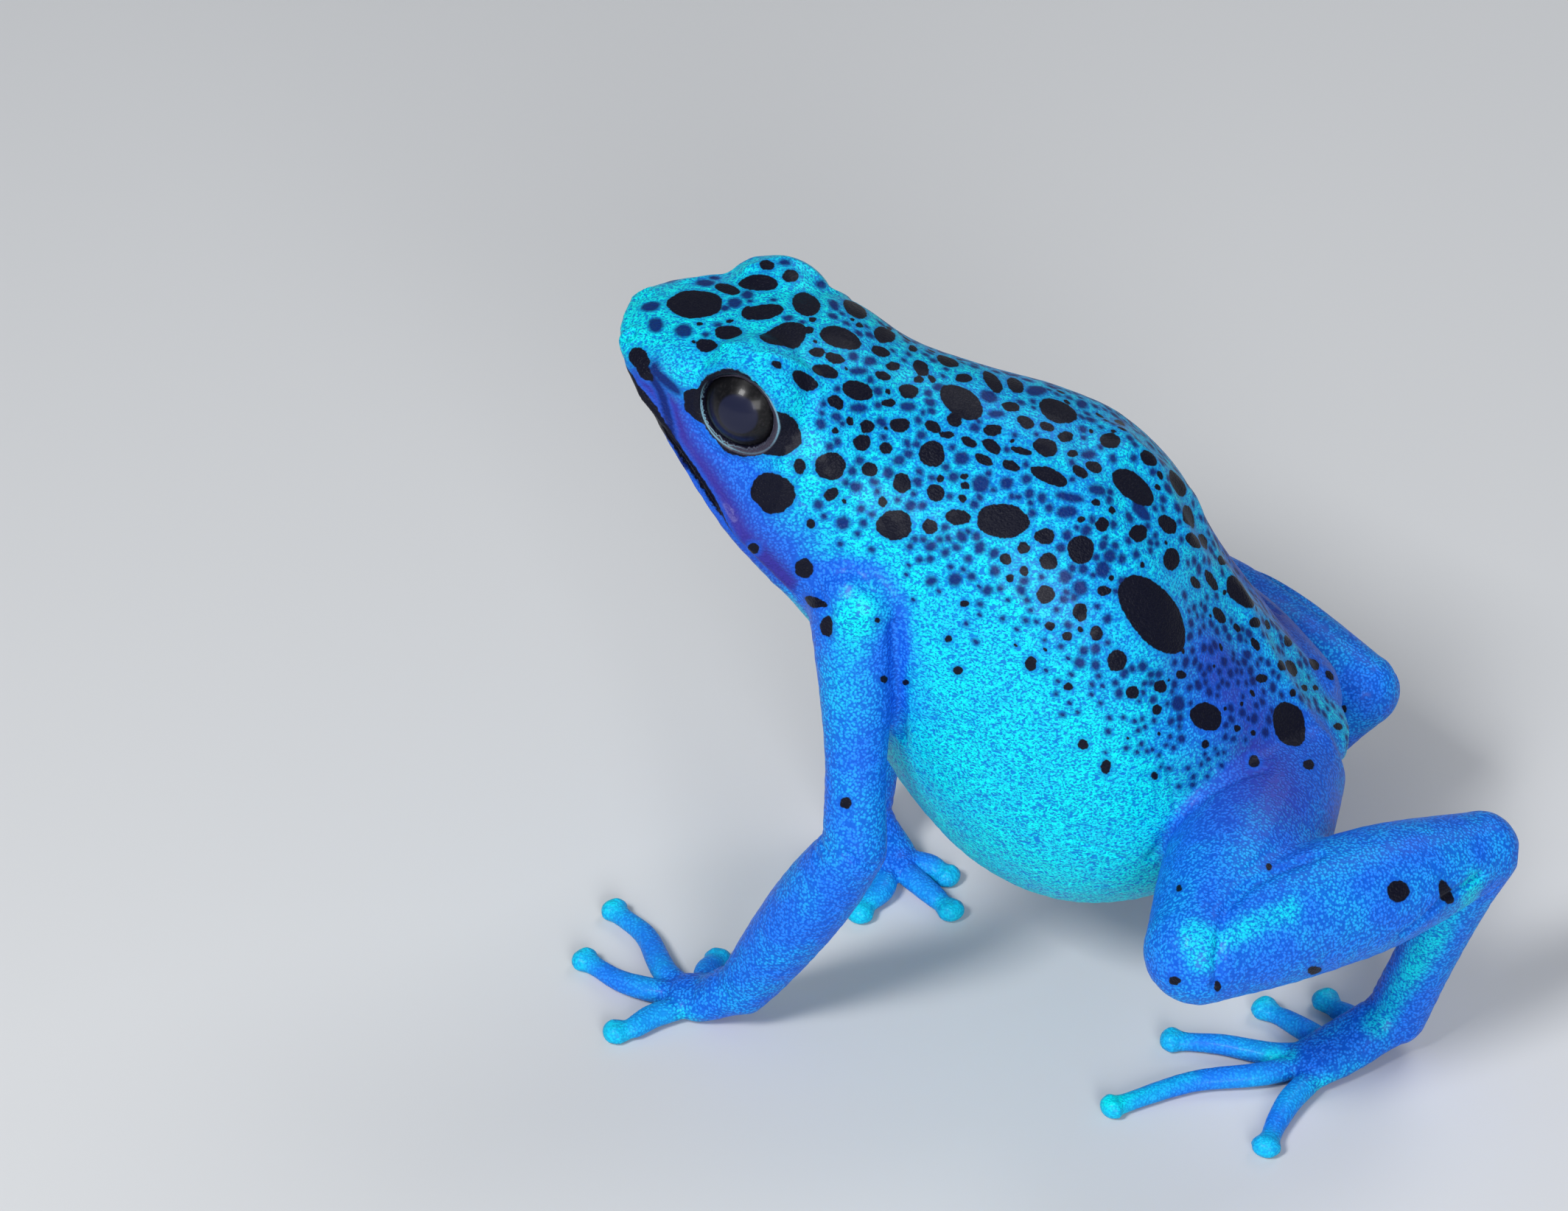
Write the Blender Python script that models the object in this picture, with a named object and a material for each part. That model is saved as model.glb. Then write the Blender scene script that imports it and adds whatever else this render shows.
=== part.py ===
"""Blue poison dart frog, a still life-size model sitting on the floor on its hands and feet.

The frog faces -Y, its left side is +X and +Z is up, and the floor is at height 0. Sizes are in
millimetres. At the end the pieces are centred over the floor and scaled to metres.
"""

from math import cos, degrees, pi, radians, sin
from typing import NamedTuple

import bmesh
import bpy
from mathutils import Matrix, Vector

MM = 0.001
GAP = 0.3
CUTTER_SIZE = 60.0

BODY_SEGMENTS = 30
HEAD_RINGS = 17
TORSO_RINGS = 25
LIMB_SEGMENTS = 12
LIMB_STEPS = 3
HAND_STEPS = 2
DIGIT_SEGMENTS = 8
ROUND_END_ANGLES = (62, 28)
EYE_DETAIL = 3

# How far a piece's mesh is thinned out. Pieces with cuts go down the steps until no sliver is left.
KEPT_SHARES = {"head": 0.7, "lower_jaw": 0.7, "torso": 1.0, "eye_left": 1.0, "eye_right": 1.0}
SHARE_STEPS = (0.9, 0.8, 0.7, 0.6, 0.5, 0.4)
LEAST_FACE_HEIGHT = 0.02
SHARPEST_FOLD = 160


class Station(NamedTuple):
    """One cross-section of the body: its top and bottom on the midline, and how round it is."""

    back_y: float
    back_z: float
    belly_y: float
    belly_z: float
    half_width: float
    widest: float
    back_power: float
    belly_power: float


# From the snout to the vent. A section is widest at a share of the way up from belly to back.
BODY = (
    Station(-6.65, 35.70, -6.70, 35.40, 0.5, 0.50, 2.0, 2.0),
    Station(-6.35, 36.05, -6.50, 34.95, 1.9, 0.50, 2.1, 2.0),
    Station(-5.60, 36.35, -5.90, 34.20, 3.3, 0.45, 2.3, 2.2),
    Station(-3.90, 36.60, -4.70, 32.35, 4.9, 0.36, 2.5, 2.3),
    Station(-1.50, 36.75, -2.80, 29.75, 6.1, 0.27, 2.7, 2.4),
    Station(1.20, 36.80, -0.95, 26.95, 6.8, 0.25, 2.6, 2.4),
    Station(4.20, 36.10, 1.00, 23.80, 7.0, 0.32, 2.4, 2.3),
    Station(7.20, 34.55, 3.00, 20.40, 7.2, 0.42, 2.0, 2.2),
    Station(10.80, 33.30, 5.00, 16.00, 7.9, 0.46, 2.0, 2.1),
    Station(14.30, 32.25, 7.40, 11.20, 8.9, 0.45, 2.1, 2.1),
    Station(17.55, 30.75, 10.90, 7.30, 9.6, 0.43, 2.1, 2.1),
    Station(20.30, 27.80, 15.00, 5.60, 9.7, 0.42, 2.1, 2.1),
    Station(22.30, 23.90, 19.20, 6.00, 9.0, 0.44, 2.0, 2.1),
    Station(24.70, 20.40, 22.70, 7.90, 7.5, 0.46, 2.0, 2.0),
    Station(27.20, 17.10, 25.90, 10.60, 5.2, 0.48, 2.0, 2.0),
    Station(28.80, 15.20, 28.20, 12.80, 2.8, 0.50, 2.0, 2.0),
    Station(29.30, 14.50, 29.00, 13.60, 1.0, 0.50, 2.0, 2.0),
)
NECK_AT = 6.35
MOUTH_FRONT = (0.0, -6.6, 35.3)
MOUTH_CORNER = (0.0, 2.4, 24.9)
NOSTRIL = (1.9, -5.95, 35.85)
NOSTRIL_RADIUS = 0.3

EYE_CENTRE = (3.5, 0.2, 34.2)
EYE_RADIUS = 2.4
EYE_AXIS = (0.95, -0.28, 0.06)
LID_THICKNESS = 0.3
LID_OPENING = 60.0
LID_SEGMENTS = 24
LID_SIDES = 8
OPENING_SEGMENTS = 20
OPENING_BACK = 0.8
OPENING_FRONT = 1.1


class Arm(NamedTuple):
    """The places that one arm passes through, and the tip of each finger."""

    shoulder: tuple
    elbow: tuple
    wrist: tuple
    palm: tuple
    palm_front: tuple
    knuckles: dict
    bends: dict
    tips: dict


class Leg(NamedTuple):
    """The places that one leg passes through, and the tip of each toe."""

    hip: tuple
    knee: tuple
    heel: tuple
    ankle: tuple
    sole: tuple
    sole_front: tuple
    knuckles: dict
    bends: dict
    tips: dict


FINGERS = ("thumb", "index_finger", "middle_finger", "outer_finger")
TOES = ("first_toe", "second_toe", "third_toe", "fourth_toe", "fifth_toe")

# The hand turns in under the chest on the right side, and the legs fold beside the rump.
ARMS = {
    "left": Arm(
        shoulder=(6.4, 5.6, 25.0),
        elbow=(10.0, 5.95, 12.7),
        wrist=(8.9, 0.35, 2.35),
        palm=(8.3, -1.7, 0.9),
        palm_front=(8.1, -2.9, 0.75),
        knuckles={
            "thumb": (6.1, -2.0),
            "index_finger": (6.5, -4.0),
            "middle_finger": (7.8, -4.7),
            "outer_finger": (9.7, -4.0),
        },
        bends={
            "thumb": (5.2, -1.7),
            "index_finger": (3.6, -5.5),
            "middle_finger": (7.2, -6.3),
            "outer_finger": (10.7, -5.0),
        },
        tips={
            "thumb": (4.2, -1.5),
            "index_finger": (1.2, -7.9),
            "middle_finger": (5.4, -8.8),
            "outer_finger": (11.3, -6.4),
        },
    ),
    "right": Arm(
        shoulder=(-6.4, 5.6, 25.0),
        elbow=(-9.6, 4.3, 12.8),
        wrist=(-5.6, 4.55, 2.4),
        palm=(-4.3, 5.9, 0.9),
        palm_front=(-3.5, 6.3, 0.75),
        knuckles={
            "thumb": (-4.1, 8.0),
            "index_finger": (-2.7, 7.6),
            "middle_finger": (-1.9, 6.0),
            "outer_finger": (-3.1, 4.4),
        },
        bends={
            "thumb": (-3.8, 8.7),
            "index_finger": (-1.6, 8.8),
            "middle_finger": (-0.8, 5.4),
            "outer_finger": (-2.8, 3.3),
        },
        tips={
            "thumb": (-3.3, 9.7),
            "index_finger": (-0.4, 10.1),
            "middle_finger": (0.6, 4.8),
            "outer_finger": (-2.3, 1.7),
        },
    ),
}

LEGS = {
    "left": Leg(
        hip=(3.0, 26.1, 13.7),
        knee=(16.0, 23.1, 13.2),
        heel=(6.5, 36.0, 13.1),
        ankle=(6.2, 32.7, 2.1),
        sole=(7.9, 30.2, 1.1),
        sole_front=(9.2, 28.6, 0.8),
        knuckles={
            "first_toe": (5.3, 30.6),
            "second_toe": (6.6, 28.6),
            "third_toe": (8.4, 27.0),
            "fourth_toe": (9.9, 26.6),
            "fifth_toe": (11.3, 28.1),
        },
        bends={
            "first_toe": (4.5, 29.9),
            "second_toe": (5.6, 27.4),
            "third_toe": (7.9, 24.3),
            "fourth_toe": (10.9, 23.0),
            "fifth_toe": (13.1, 27.4),
        },
        tips={
            "first_toe": (3.2, 28.8),
            "second_toe": (4.4, 25.7),
            "third_toe": (7.8, 21.2),
            "fourth_toe": (13.5, 18.8),
            "fifth_toe": (15.6, 26.8),
        },
    ),
    "right": Leg(
        hip=(-3.0, 25.6, 14.1),
        knee=(-15.6, 15.9, 12.9),
        heel=(-8.7, 29.7, 10.9),
        ankle=(-9.6, 24.5, 2.1),
        sole=(-12.0, 22.8, 1.1),
        sole_front=(-13.4, 21.4, 0.8),
        knuckles={
            "first_toe": (-9.6, 22.1),
            "second_toe": (-11.2, 20.7),
            "third_toe": (-13.2, 19.9),
            "fourth_toe": (-14.5, 20.1),
            "fifth_toe": (-15.4, 21.7),
        },
        bends={
            "first_toe": (-9.0, 21.2),
            "second_toe": (-10.6, 19.3),
            "third_toe": (-13.1, 17.0),
            "fourth_toe": (-16.6, 16.6),
            "fifth_toe": (-17.4, 21.4),
        },
        tips={
            "first_toe": (-8.2, 19.8),
            "second_toe": (-9.9, 17.3),
            "third_toe": (-13.5, 13.9),
            "fourth_toe": (-19.6, 12.8),
            "fifth_toe": (-19.9, 21.4),
        },
    ),
}

# Half widths along each limb, as pairs of the share of its length and the size there.
UPPER_ARM = ((0.0, 2.5), (0.3, 1.95), (0.65, 1.5), (1.0, 1.6))
FOREARM = ((0.0, 1.6), (0.3, 1.9), (0.65, 1.8), (1.0, 1.4))
THIGH = ((0.0, 3.2), (0.3, 3.65), (0.65, 3.4), (1.0, 2.6))
SHANK = ((0.0, 2.6), (0.3, 3.0), (0.65, 2.95), (1.0, 1.95))
TARSUS = ((0.0, 1.95), (0.25, 1.65), (0.65, 1.5), (1.0, 1.55))

HAND_HALF_WIDTH = 1.55
FOOT_HALF_WIDTH = 1.6
FINGER_HALF_WIDTH = 0.62
TOE_HALF_WIDTH = 0.6
PAD_HALF_WIDTH = 0.76
DIGIT_HEIGHT = 0.45
DIGIT_FLATNESS = 0.85
PAD_FLATNESS = 0.7

# A digit sinks into its palm by a share of the way to the palm's middle, and drops as it runs out.
DIGIT_SINK = 0.8
ROOT_RISE = 0.25
KNUCKLE_RISE = 0.2
BEND_RISE = 0.08
KNUCKLE_SWELL = 1.08
BEND_SWELL = 0.95
WAIST_SWELL = 0.85
WAIST_BACK = 1.7
PAD_BACK = 0.8
PAD_END_BACK = 0.55
PAD_END_SWELL = 0.9

# The palm or sole spreads and flattens from the wrist or ankle to its front edge.
PALM_SPREAD = (0.9, 0.92, 1.0, 0.95)
PALM_FLATNESS = (1.0, 0.85, 0.65, 0.55)
KNUCKLE_HEIGHT = 0.7
KNUCKLE_CUT_WIDTH = 2.8
KNUCKLE_CUT_HEIGHT = 2.4


class Knot(NamedTuple):
    """A point that a limb passes through, its half width there and its thickness over its width."""

    x: float
    y: float
    z: float
    radius: float
    flatness: float = 1.0


def between(points, at):
    """The values at a fractional index in a list of tuples, on a smooth curve through them."""
    last = len(points) - 1
    index = min(int(at), last - 1)
    t = at - index
    before = points[max(index - 1, 0)]
    after = points[min(index + 2, last)]
    return [
        b + 0.5 * t * (c - a + t * (2 * a - 5 * b + 4 * c - d + t * (3 * b - a - 3 * c + d)))
        for a, b, c, d in zip(before, points[index], points[index + 1], after)
    ]


def rounded(value, power):
    """The superellipse form of a sine or cosine: 2 gives a circle, and more is squarer."""
    return abs(value) ** (2 / power) * (1 if value >= 0 else -1)


def body_ring(at, grow=0.0):
    """The points of the body's section at a fractional station, from the left side over the back."""
    s = Station(*between(BODY, at))
    belly = Vector((0, s.belly_y, s.belly_z))
    rise = Vector((0, s.back_y, s.back_z)) - belly
    up = rise.normalized()
    middle = belly + rise * s.widest
    ring = []
    for k in range(BODY_SEGMENTS):
        turn = 2 * pi * k / BODY_SEGMENTS
        over = sin(turn) >= 0
        reach = rise.length * (1 - s.widest if over else s.widest)
        side = rounded(cos(turn), s.back_power if over else s.belly_power) * (s.half_width + grow)
        lift = rounded(sin(turn), s.back_power if over else s.belly_power) * (reach + grow)
        ring.append(middle + Vector((side, 0, 0)) + up * lift)
    return ring


def limb_rings(knots, segments, steps):
    """The rings of a limb that runs through its knots, with round ends."""
    count = (len(knots) - 1) * steps
    samples = [Knot(*between(knots, i / steps)) for i in range(count + 1)]
    centres = [Vector(sample[:3]) for sample in samples]
    rings = []
    for i, sample in enumerate(samples):
        along = (centres[min(i + 1, count)] - centres[max(i - 1, 0)]).normalized()
        level = Vector((0, 0, 1)) if abs(along.z) < 0.9 else Vector((0, -1, 0))
        side = along.cross(level).normalized()
        up = side.cross(along)
        thick = sample.radius * sample.flatness
        angles = [0]
        if i == 0:
            angles = [*ROUND_END_ANGLES, 0]
        elif i == count:
            angles = [0, *(-angle for angle in reversed(ROUND_END_ANGLES))]
        for angle in angles:
            middle = centres[i] - along * sin(radians(angle)) * thick
            share = cos(radians(angle))
            ring = []
            for k in range(segments):
                turn = 2 * pi * (k + 0.5) / segments
                ring.append(middle + share * (side * cos(turn) * sample.radius + up * sin(turn) * thick))
            rings.append(ring)
    return rings


def made(name, mesh):
    """A mesh placed in the scene as an object."""
    thing = bpy.data.objects.new(name, mesh)
    bpy.context.scene.collection.objects.link(thing)
    return thing


def skinned(name, rings):
    """An object with a closed skin over rings of equal length, its two ends capped."""
    mesh = bpy.data.meshes.new(name)
    form = bmesh.new()
    rows = [[form.verts.new(point) for point in ring] for ring in rings]
    for lower, upper in zip(rows, rows[1:]):
        for k, vertex in enumerate(lower):
            beside = (k + 1) % len(lower)
            form.faces.new((vertex, lower[beside], upper[beside], upper[k]))
    form.faces.new(rows[0])
    form.faces.new(rows[-1])
    bmesh.ops.triangulate(form, faces=form.faces)
    bmesh.ops.recalc_face_normals(form, faces=form.faces)
    form.to_mesh(mesh)
    form.free()
    return made(name, mesh)


def limb(name, start, end, sizes):
    """A round limb segment from one joint to the next."""
    start = Vector(start)
    end = Vector(end)
    knots = [Knot(*start.lerp(end, share), radius) for share, radius in sizes]
    return skinned(name, limb_rings(knots, LIMB_SEGMENTS, LIMB_STEPS))


def ball(name, centre, radius, detail=EYE_DETAIL):
    """A round ball."""
    mesh = bpy.data.meshes.new(name)
    form = bmesh.new()
    bmesh.ops.create_icosphere(form, subdivisions=detail, radius=radius, matrix=Matrix.Translation(centre))
    form.to_mesh(mesh)
    form.free()
    return made(name, mesh)


def facing_along(centre, axis):
    """The place and turn that point a shape's own Z along an axis."""
    turn = Vector(axis).to_track_quat("Z", "Y").to_matrix().to_4x4()
    return Matrix.Translation(centre) @ turn


def block(centre, facing, width, height, thickness):
    """A block for use as a cutter, its thickness along the way it faces and its height upright."""
    mesh = bpy.data.meshes.new("cutter")
    form = bmesh.new()
    size = Matrix.Diagonal((width, height, thickness, 1))
    bmesh.ops.create_cube(form, size=1.0, matrix=facing_along(centre, facing) @ size)
    form.to_mesh(mesh)
    form.free()
    return made("cutter", mesh)


def beyond(at, facing, gap=GAP):
    """A block that takes away what lies past a plane, and half a gap more."""
    facing = Vector(facing).normalized()
    middle = Vector(at) + facing * (CUTTER_SIZE - gap) / 2
    return block(middle, facing, CUTTER_SIZE, CUTTER_SIZE, CUTTER_SIZE)


def closed_surfaces(mesh):
    """The separate closed surfaces of a mesh as (volume, middle, mesh), the largest first."""
    form = bmesh.new()
    form.from_mesh(mesh)
    bmesh.ops.triangulate(form, faces=form.faces)
    found = []
    waiting = {face: None for face in form.faces}
    while waiting:
        patch = [next(iter(waiting))]
        del waiting[patch[0]]
        for face in patch:
            for edge in face.edges:
                for other in edge.link_faces:
                    if other in waiting:
                        del waiting[other]
                        patch.append(other)
        surface = bmesh.new()
        copies = {}
        for face in patch:
            for vertex in face.verts:
                if vertex not in copies:
                    copies[vertex] = surface.verts.new(vertex.co)
            surface.faces.new([copies[vertex] for vertex in face.verts])
        piece = bpy.data.meshes.new("surface")
        surface.to_mesh(piece)
        middle = sum((vertex.co for vertex in surface.verts), Vector()) / len(surface.verts)
        found.append((surface.calc_volume(), middle, piece))
        surface.free()
    form.free()
    return sorted(found, key=lambda item: -item[0])


def combine(thing, others, operation, solver="EXACT"):
    """Join others to a piece, or cut them from it, and keep its largest closed surface."""
    group = bpy.data.collections.new("others")
    bpy.context.scene.collection.children.link(group)
    for other in others:
        group.objects.link(other)
    modifier = thing.modifiers.new("Combine", "BOOLEAN")
    modifier.operation = operation
    modifier.operand_type = "COLLECTION"
    modifier.collection = group
    modifier.solver = solver
    view = bpy.context.evaluated_depsgraph_get()
    mesh = bpy.data.meshes.new_from_object(thing.evaluated_get(view))
    thing.modifiers.clear()
    thing.data = closed_surfaces(mesh)[0][2]
    for other in others:
        bpy.data.objects.remove(other)
    bpy.data.collections.remove(group)
    return mesh


def parted(thing, cutters, places, solver="EXACT"):
    """Cut a piece right through, and make an object of the surface nearest to each named place."""
    surfaces = closed_surfaces(combine(thing, cutters, "DIFFERENCE", solver))[: len(places)]
    bpy.data.objects.remove(thing)
    pieces = {}
    for name, place in places.items():
        nearest = min(surfaces, key=lambda item: (item[1] - Vector(place)).length)
        surfaces.remove(nearest)
        pieces[name] = made(name, nearest[2])
    return pieces


def body_form(name, grow=0.0):
    """The body from the snout to the vent as one closed form, head and torso together."""
    last = len(BODY) - 1
    head = [NECK_AT * i / HEAD_RINGS for i in range(HEAD_RINGS)]
    torso = [NECK_AT + (last - NECK_AT) * i / TORSO_RINGS for i in range(TORSO_RINGS + 1)]
    return skinned(name, [body_ring(at, grow) for at in head + torso])


def mirrored(place, side):
    """A left place, or its mirror image on the right."""
    return Vector((place[0] if side == "left" else -place[0], place[1], place[2]))


def lid_ring(centre, axis):
    """The swollen rim of the two eyelids, a ring round the eye's opening."""
    reach = EYE_RADIUS + GAP
    ring_radius = reach * sin(radians(LID_OPENING))
    turn = facing_along(Vector(centre) + Vector(axis) * reach * cos(radians(LID_OPENING)), axis)
    mesh = bpy.data.meshes.new("lids")
    form = bmesh.new()
    rows = []
    for i in range(LID_SEGMENTS):
        angle = 2 * pi * i / LID_SEGMENTS
        row = []
        for k in range(LID_SIDES):
            tube = 2 * pi * k / LID_SIDES
            out = ring_radius + LID_THICKNESS * cos(tube)
            spot = Vector((out * cos(angle), out * sin(angle), LID_THICKNESS * sin(tube)))
            row.append(form.verts.new(turn @ spot))
        rows.append(row)
    for i, row in enumerate(rows):
        after = rows[(i + 1) % LID_SEGMENTS]
        for k in range(LID_SIDES):
            beside = (k + 1) % LID_SIDES
            form.faces.new((row[k], row[beside], after[beside], after[k]))
    bmesh.ops.recalc_face_normals(form, faces=form.faces)
    form.to_mesh(mesh)
    form.free()
    return made("lids", mesh)


def eye_opening(centre, axis):
    """A short round cutter that opens the lids in front of the eye."""
    mesh = bpy.data.meshes.new("opening")
    form = bmesh.new()
    reach = EYE_RADIUS * cos(radians(LID_OPENING)) + EYE_RADIUS / 2
    radius = EYE_RADIUS * sin(radians(LID_OPENING))
    bmesh.ops.create_cone(
        form,
        cap_ends=True,
        segments=OPENING_SEGMENTS,
        radius1=radius * OPENING_BACK,
        radius2=radius * OPENING_FRONT,
        depth=EYE_RADIUS,
        matrix=facing_along(Vector(centre) + Vector(axis) * reach, axis),
    )
    form.to_mesh(mesh)
    form.free()
    return made("opening", mesh)


def head_and_torso():
    """The torso, the head with its eye bulges, lids and nostrils, and the lower jaw."""
    neck = body_ring(NECK_AT)
    neck_middle = sum(neck, Vector()) / len(neck)
    station = Station(*between(BODY, NECK_AT))
    neck_rise = Vector((0, station.back_y - station.belly_y, station.back_z - station.belly_z)).normalized()
    neck_facing = Vector((0, neck_rise.z, -neck_rise.y))
    whole = body_form("body")
    pieces = parted(
        whole,
        [block(neck_middle, neck_facing, CUTTER_SIZE, CUTTER_SIZE, GAP)],
        {"torso": (0, 16, 20), "head": (0, -2, 32)},
    )
    head = pieces["head"]
    bulges = []
    sockets = []
    for side in ARMS:
        centre = mirrored(EYE_CENTRE, side)
        axis = mirrored(EYE_AXIS, side).normalized()
        bulges.append(ball("bulge", centre, EYE_RADIUS + GAP + LID_THICKNESS))
        bulges.append(lid_ring(centre, axis))
        sockets.append(ball("socket", centre, EYE_RADIUS + GAP))
        sockets.append(eye_opening(centre, axis))
        sockets.append(ball("nostril", mirrored(NOSTRIL, side), NOSTRIL_RADIUS, detail=1))
        pieces[f"eye_{side}"] = ball(f"eye_{side}", centre, EYE_RADIUS)
    combine(head, bulges, "UNION")
    combine(head, sockets, "DIFFERENCE")
    mouth = Vector(MOUTH_CORNER) - Vector(MOUTH_FRONT)
    across = Vector((0, -mouth.z, mouth.y)).normalized()
    cut = block(Vector(MOUTH_FRONT) + mouth / 2, across, CUTTER_SIZE, CUTTER_SIZE, GAP)
    pieces.update(parted(head, [cut], {"head": (0, -1, 34), "lower_jaw": (0, -4, 29)}))
    return pieces


def split_at(joint, first, first_end, second, second_end):
    """Trim two limb segments that meet at a joint, so that they lie face to face on the plane between."""
    joint = Vector(joint)
    away = (Vector(first_end) - joint).normalized() - (Vector(second_end) - joint).normalized()
    combine(first, [beyond(joint, -away)], "DIFFERENCE")
    combine(second, [beyond(joint, away)], "DIFFERENCE")


def digit(start, knuckle, bend, tip, half_width):
    """A finger or toe that runs along the floor from inside the hand or foot to its round pad."""
    tip = Vector(tip)
    bend = Vector(bend)
    last = (tip - bend).normalized()
    waist = tip - last * PAD_HALF_WIDTH * WAIST_BACK
    pad = tip - last * PAD_HALF_WIDTH * PAD_BACK
    pad_end = tip - last * PAD_HALF_WIDTH * PAD_END_BACK
    root = Vector(knuckle).lerp(Vector(start[:2]), DIGIT_SINK)
    height = DIGIT_HEIGHT
    knots = [
        Knot(*root, height + ROOT_RISE, half_width),
        Knot(*knuckle, height + KNUCKLE_RISE, half_width * KNUCKLE_SWELL, DIGIT_FLATNESS),
        Knot(*bend, height + BEND_RISE, half_width * BEND_SWELL, DIGIT_FLATNESS),
        Knot(*waist, height, half_width * WAIST_SWELL, DIGIT_FLATNESS),
        Knot(*pad, height, PAD_HALF_WIDTH, PAD_FLATNESS),
        Knot(*pad_end, height, PAD_HALF_WIDTH * PAD_END_SWELL, PAD_FLATNESS),
    ]
    return skinned("digit", limb_rings(knots, DIGIT_SEGMENTS, 1))


def hand_or_foot(name, joint, middle, front, width, places, digit_names, half_width):
    """A palm or sole on the floor with its digits, parted from them at the knuckles."""
    way = (joint, Vector(joint).lerp(Vector(middle), 0.5), middle, front)
    knots = [
        Knot(*place, width * spread, flatness)
        for place, spread, flatness in zip(way, PALM_SPREAD, PALM_FLATNESS)
    ]
    whole = skinned(name, limb_rings(knots, LIMB_SEGMENTS, HAND_STEPS))
    digits = []
    cutters = [beyond((*middle[:2], 0), (0, 0, -1), gap=0.0)]
    spots = {name: middle}
    for digit_name in digit_names:
        knuckle = Vector(places.knuckles[digit_name])
        bend = Vector(places.bends[digit_name])
        tip = Vector(places.tips[digit_name])
        digits.append(digit(middle, knuckle, bend, tip, half_width))
        facing = (bend - knuckle).normalized()
        cut_width = KNUCKLE_CUT_WIDTH * half_width
        cutters.append(block((*knuckle, KNUCKLE_HEIGHT), (*facing, 0), cut_width, KNUCKLE_CUT_HEIGHT, GAP))
        side = name.split("_")[-1]
        spots[f"{digit_name}_{side}"] = (*bend, DIGIT_HEIGHT)
    combine(whole, digits, "UNION", "MANIFOLD")
    return parted(whole, cutters, spots, "MANIFOLD")


def arm(side):
    """The upper arm, forearm, hand and fingers of one side."""
    places = ARMS[side]
    upper = limb(f"upper_arm_{side}", places.shoulder, places.elbow, UPPER_ARM)
    fore = limb(f"forearm_{side}", places.elbow, places.wrist, FOREARM)
    combine(upper, [body_form("body", GAP)], "DIFFERENCE")
    split_at(places.elbow, upper, places.shoulder, fore, places.wrist)
    name = f"hand_{side}"
    pieces = hand_or_foot(
        name,
        places.wrist,
        places.palm,
        places.palm_front,
        HAND_HALF_WIDTH,
        places,
        FINGERS,
        FINGER_HALF_WIDTH,
    )
    split_at(places.wrist, fore, places.elbow, pieces[name], places.palm)
    pieces.update({upper.name: upper, fore.name: fore})
    return pieces


def leg(side):
    """The thigh, shank, tarsus, foot and toes of one side."""
    places = LEGS[side]
    thigh = limb(f"thigh_{side}", places.hip, places.knee, THIGH)
    shank = limb(f"shank_{side}", places.knee, places.heel, SHANK)
    tarsus = limb(f"tarsus_{side}", places.heel, places.ankle, TARSUS)
    for segment in (thigh, shank):
        combine(segment, [body_form("body", GAP)], "DIFFERENCE")
    split_at(places.knee, thigh, places.hip, shank, places.heel)
    split_at(places.heel, shank, places.knee, tarsus, places.ankle)
    name = f"foot_{side}"
    pieces = hand_or_foot(
        name,
        places.ankle,
        places.sole,
        places.sole_front,
        FOOT_HALF_WIDTH,
        places,
        TOES,
        TOE_HALF_WIDTH,
    )
    split_at(places.ankle, tarsus, places.heel, pieces[name], places.sole)
    pieces.update({thigh.name: thigh, shank.name: shank, tarsus.name: tarsus})
    return pieces


def material(name, colour, roughness):
    """A plain finish."""
    finish = bpy.data.materials.new(name)
    finish.use_nodes = True
    shader = finish.node_tree.nodes["Principled BSDF"]
    shader.inputs["Base Color"].default_value = (*colour, 1.0)
    shader.inputs["Roughness"].default_value = roughness
    shader.inputs["Metallic"].default_value = 0.0
    return finish


SKY_BLUE = (0.01, 0.42, 0.86)
AZURE = (0.01, 0.12, 0.72)
PAD_BLUE = (0.02, 0.55, 0.90)
EYE_BLACK = (0.005, 0.006, 0.02)


def colour_of(name):
    """The colour and roughness of a piece, from its name."""
    if name.startswith("eye"):
        return EYE_BLACK, 0.08
    if name in ("head", "torso", "lower_jaw"):
        return SKY_BLUE, 0.4
    if "toe" in name or "finger" in name or "thumb" in name:
        return PAD_BLUE, 0.4
    return AZURE, 0.42


def worst_places(piece):
    """The least height of a face and the sharpest fold between two faces, in millimetres and degrees."""
    view = bpy.context.evaluated_depsgraph_get()
    form = bmesh.new()
    form.from_object(piece, view)
    heights = [2 * face.calc_area() / max(edge.calc_length() for edge in face.edges) for face in form.faces]
    folds = [edge.calc_face_angle(pi) for edge in form.edges]
    form.free()
    return min(heights) / MM, degrees(max(folds))


def simplified(piece):
    """Merge away the slivers that the cuts leave, which also makes the flat stretches coarser."""
    modifier = piece.modifiers.new("Simplify", "DECIMATE")
    modifier.use_collapse_triangulate = True
    if piece.name in KEPT_SHARES:
        modifier.ratio = KEPT_SHARES[piece.name]
        return
    results = {}
    for share in SHARE_STEPS:
        modifier.ratio = share
        height, fold = worst_places(piece)
        results[share] = (fold <= SHARPEST_FOLD, min(height, LEAST_FACE_HEIGHT), share)
    modifier.ratio = max(results, key=results.get)


def finished(pieces):
    """Centre all the pieces over the floor's origin, scale them to metres and give them finishes."""
    corners = [vertex.co for piece in pieces.values() for vertex in piece.data.vertices]
    middle_x = (min(c.x for c in corners) + max(c.x for c in corners)) / 2
    middle_y = (min(c.y for c in corners) + max(c.y for c in corners)) / 2
    to_metres = Matrix.Scale(MM, 4) @ Matrix.Translation((-middle_x, -middle_y, 0))
    for name, piece in pieces.items():
        piece.data.transform(to_metres)
        piece.name = name
        piece.data.name = name
        piece.data.materials.clear()
        piece.data.materials.append(material(name, *colour_of(name)))
        piece.data.shade_smooth()
        piece.data.set_sharp_from_angle(angle=radians(40))
        simplified(piece)


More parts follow.
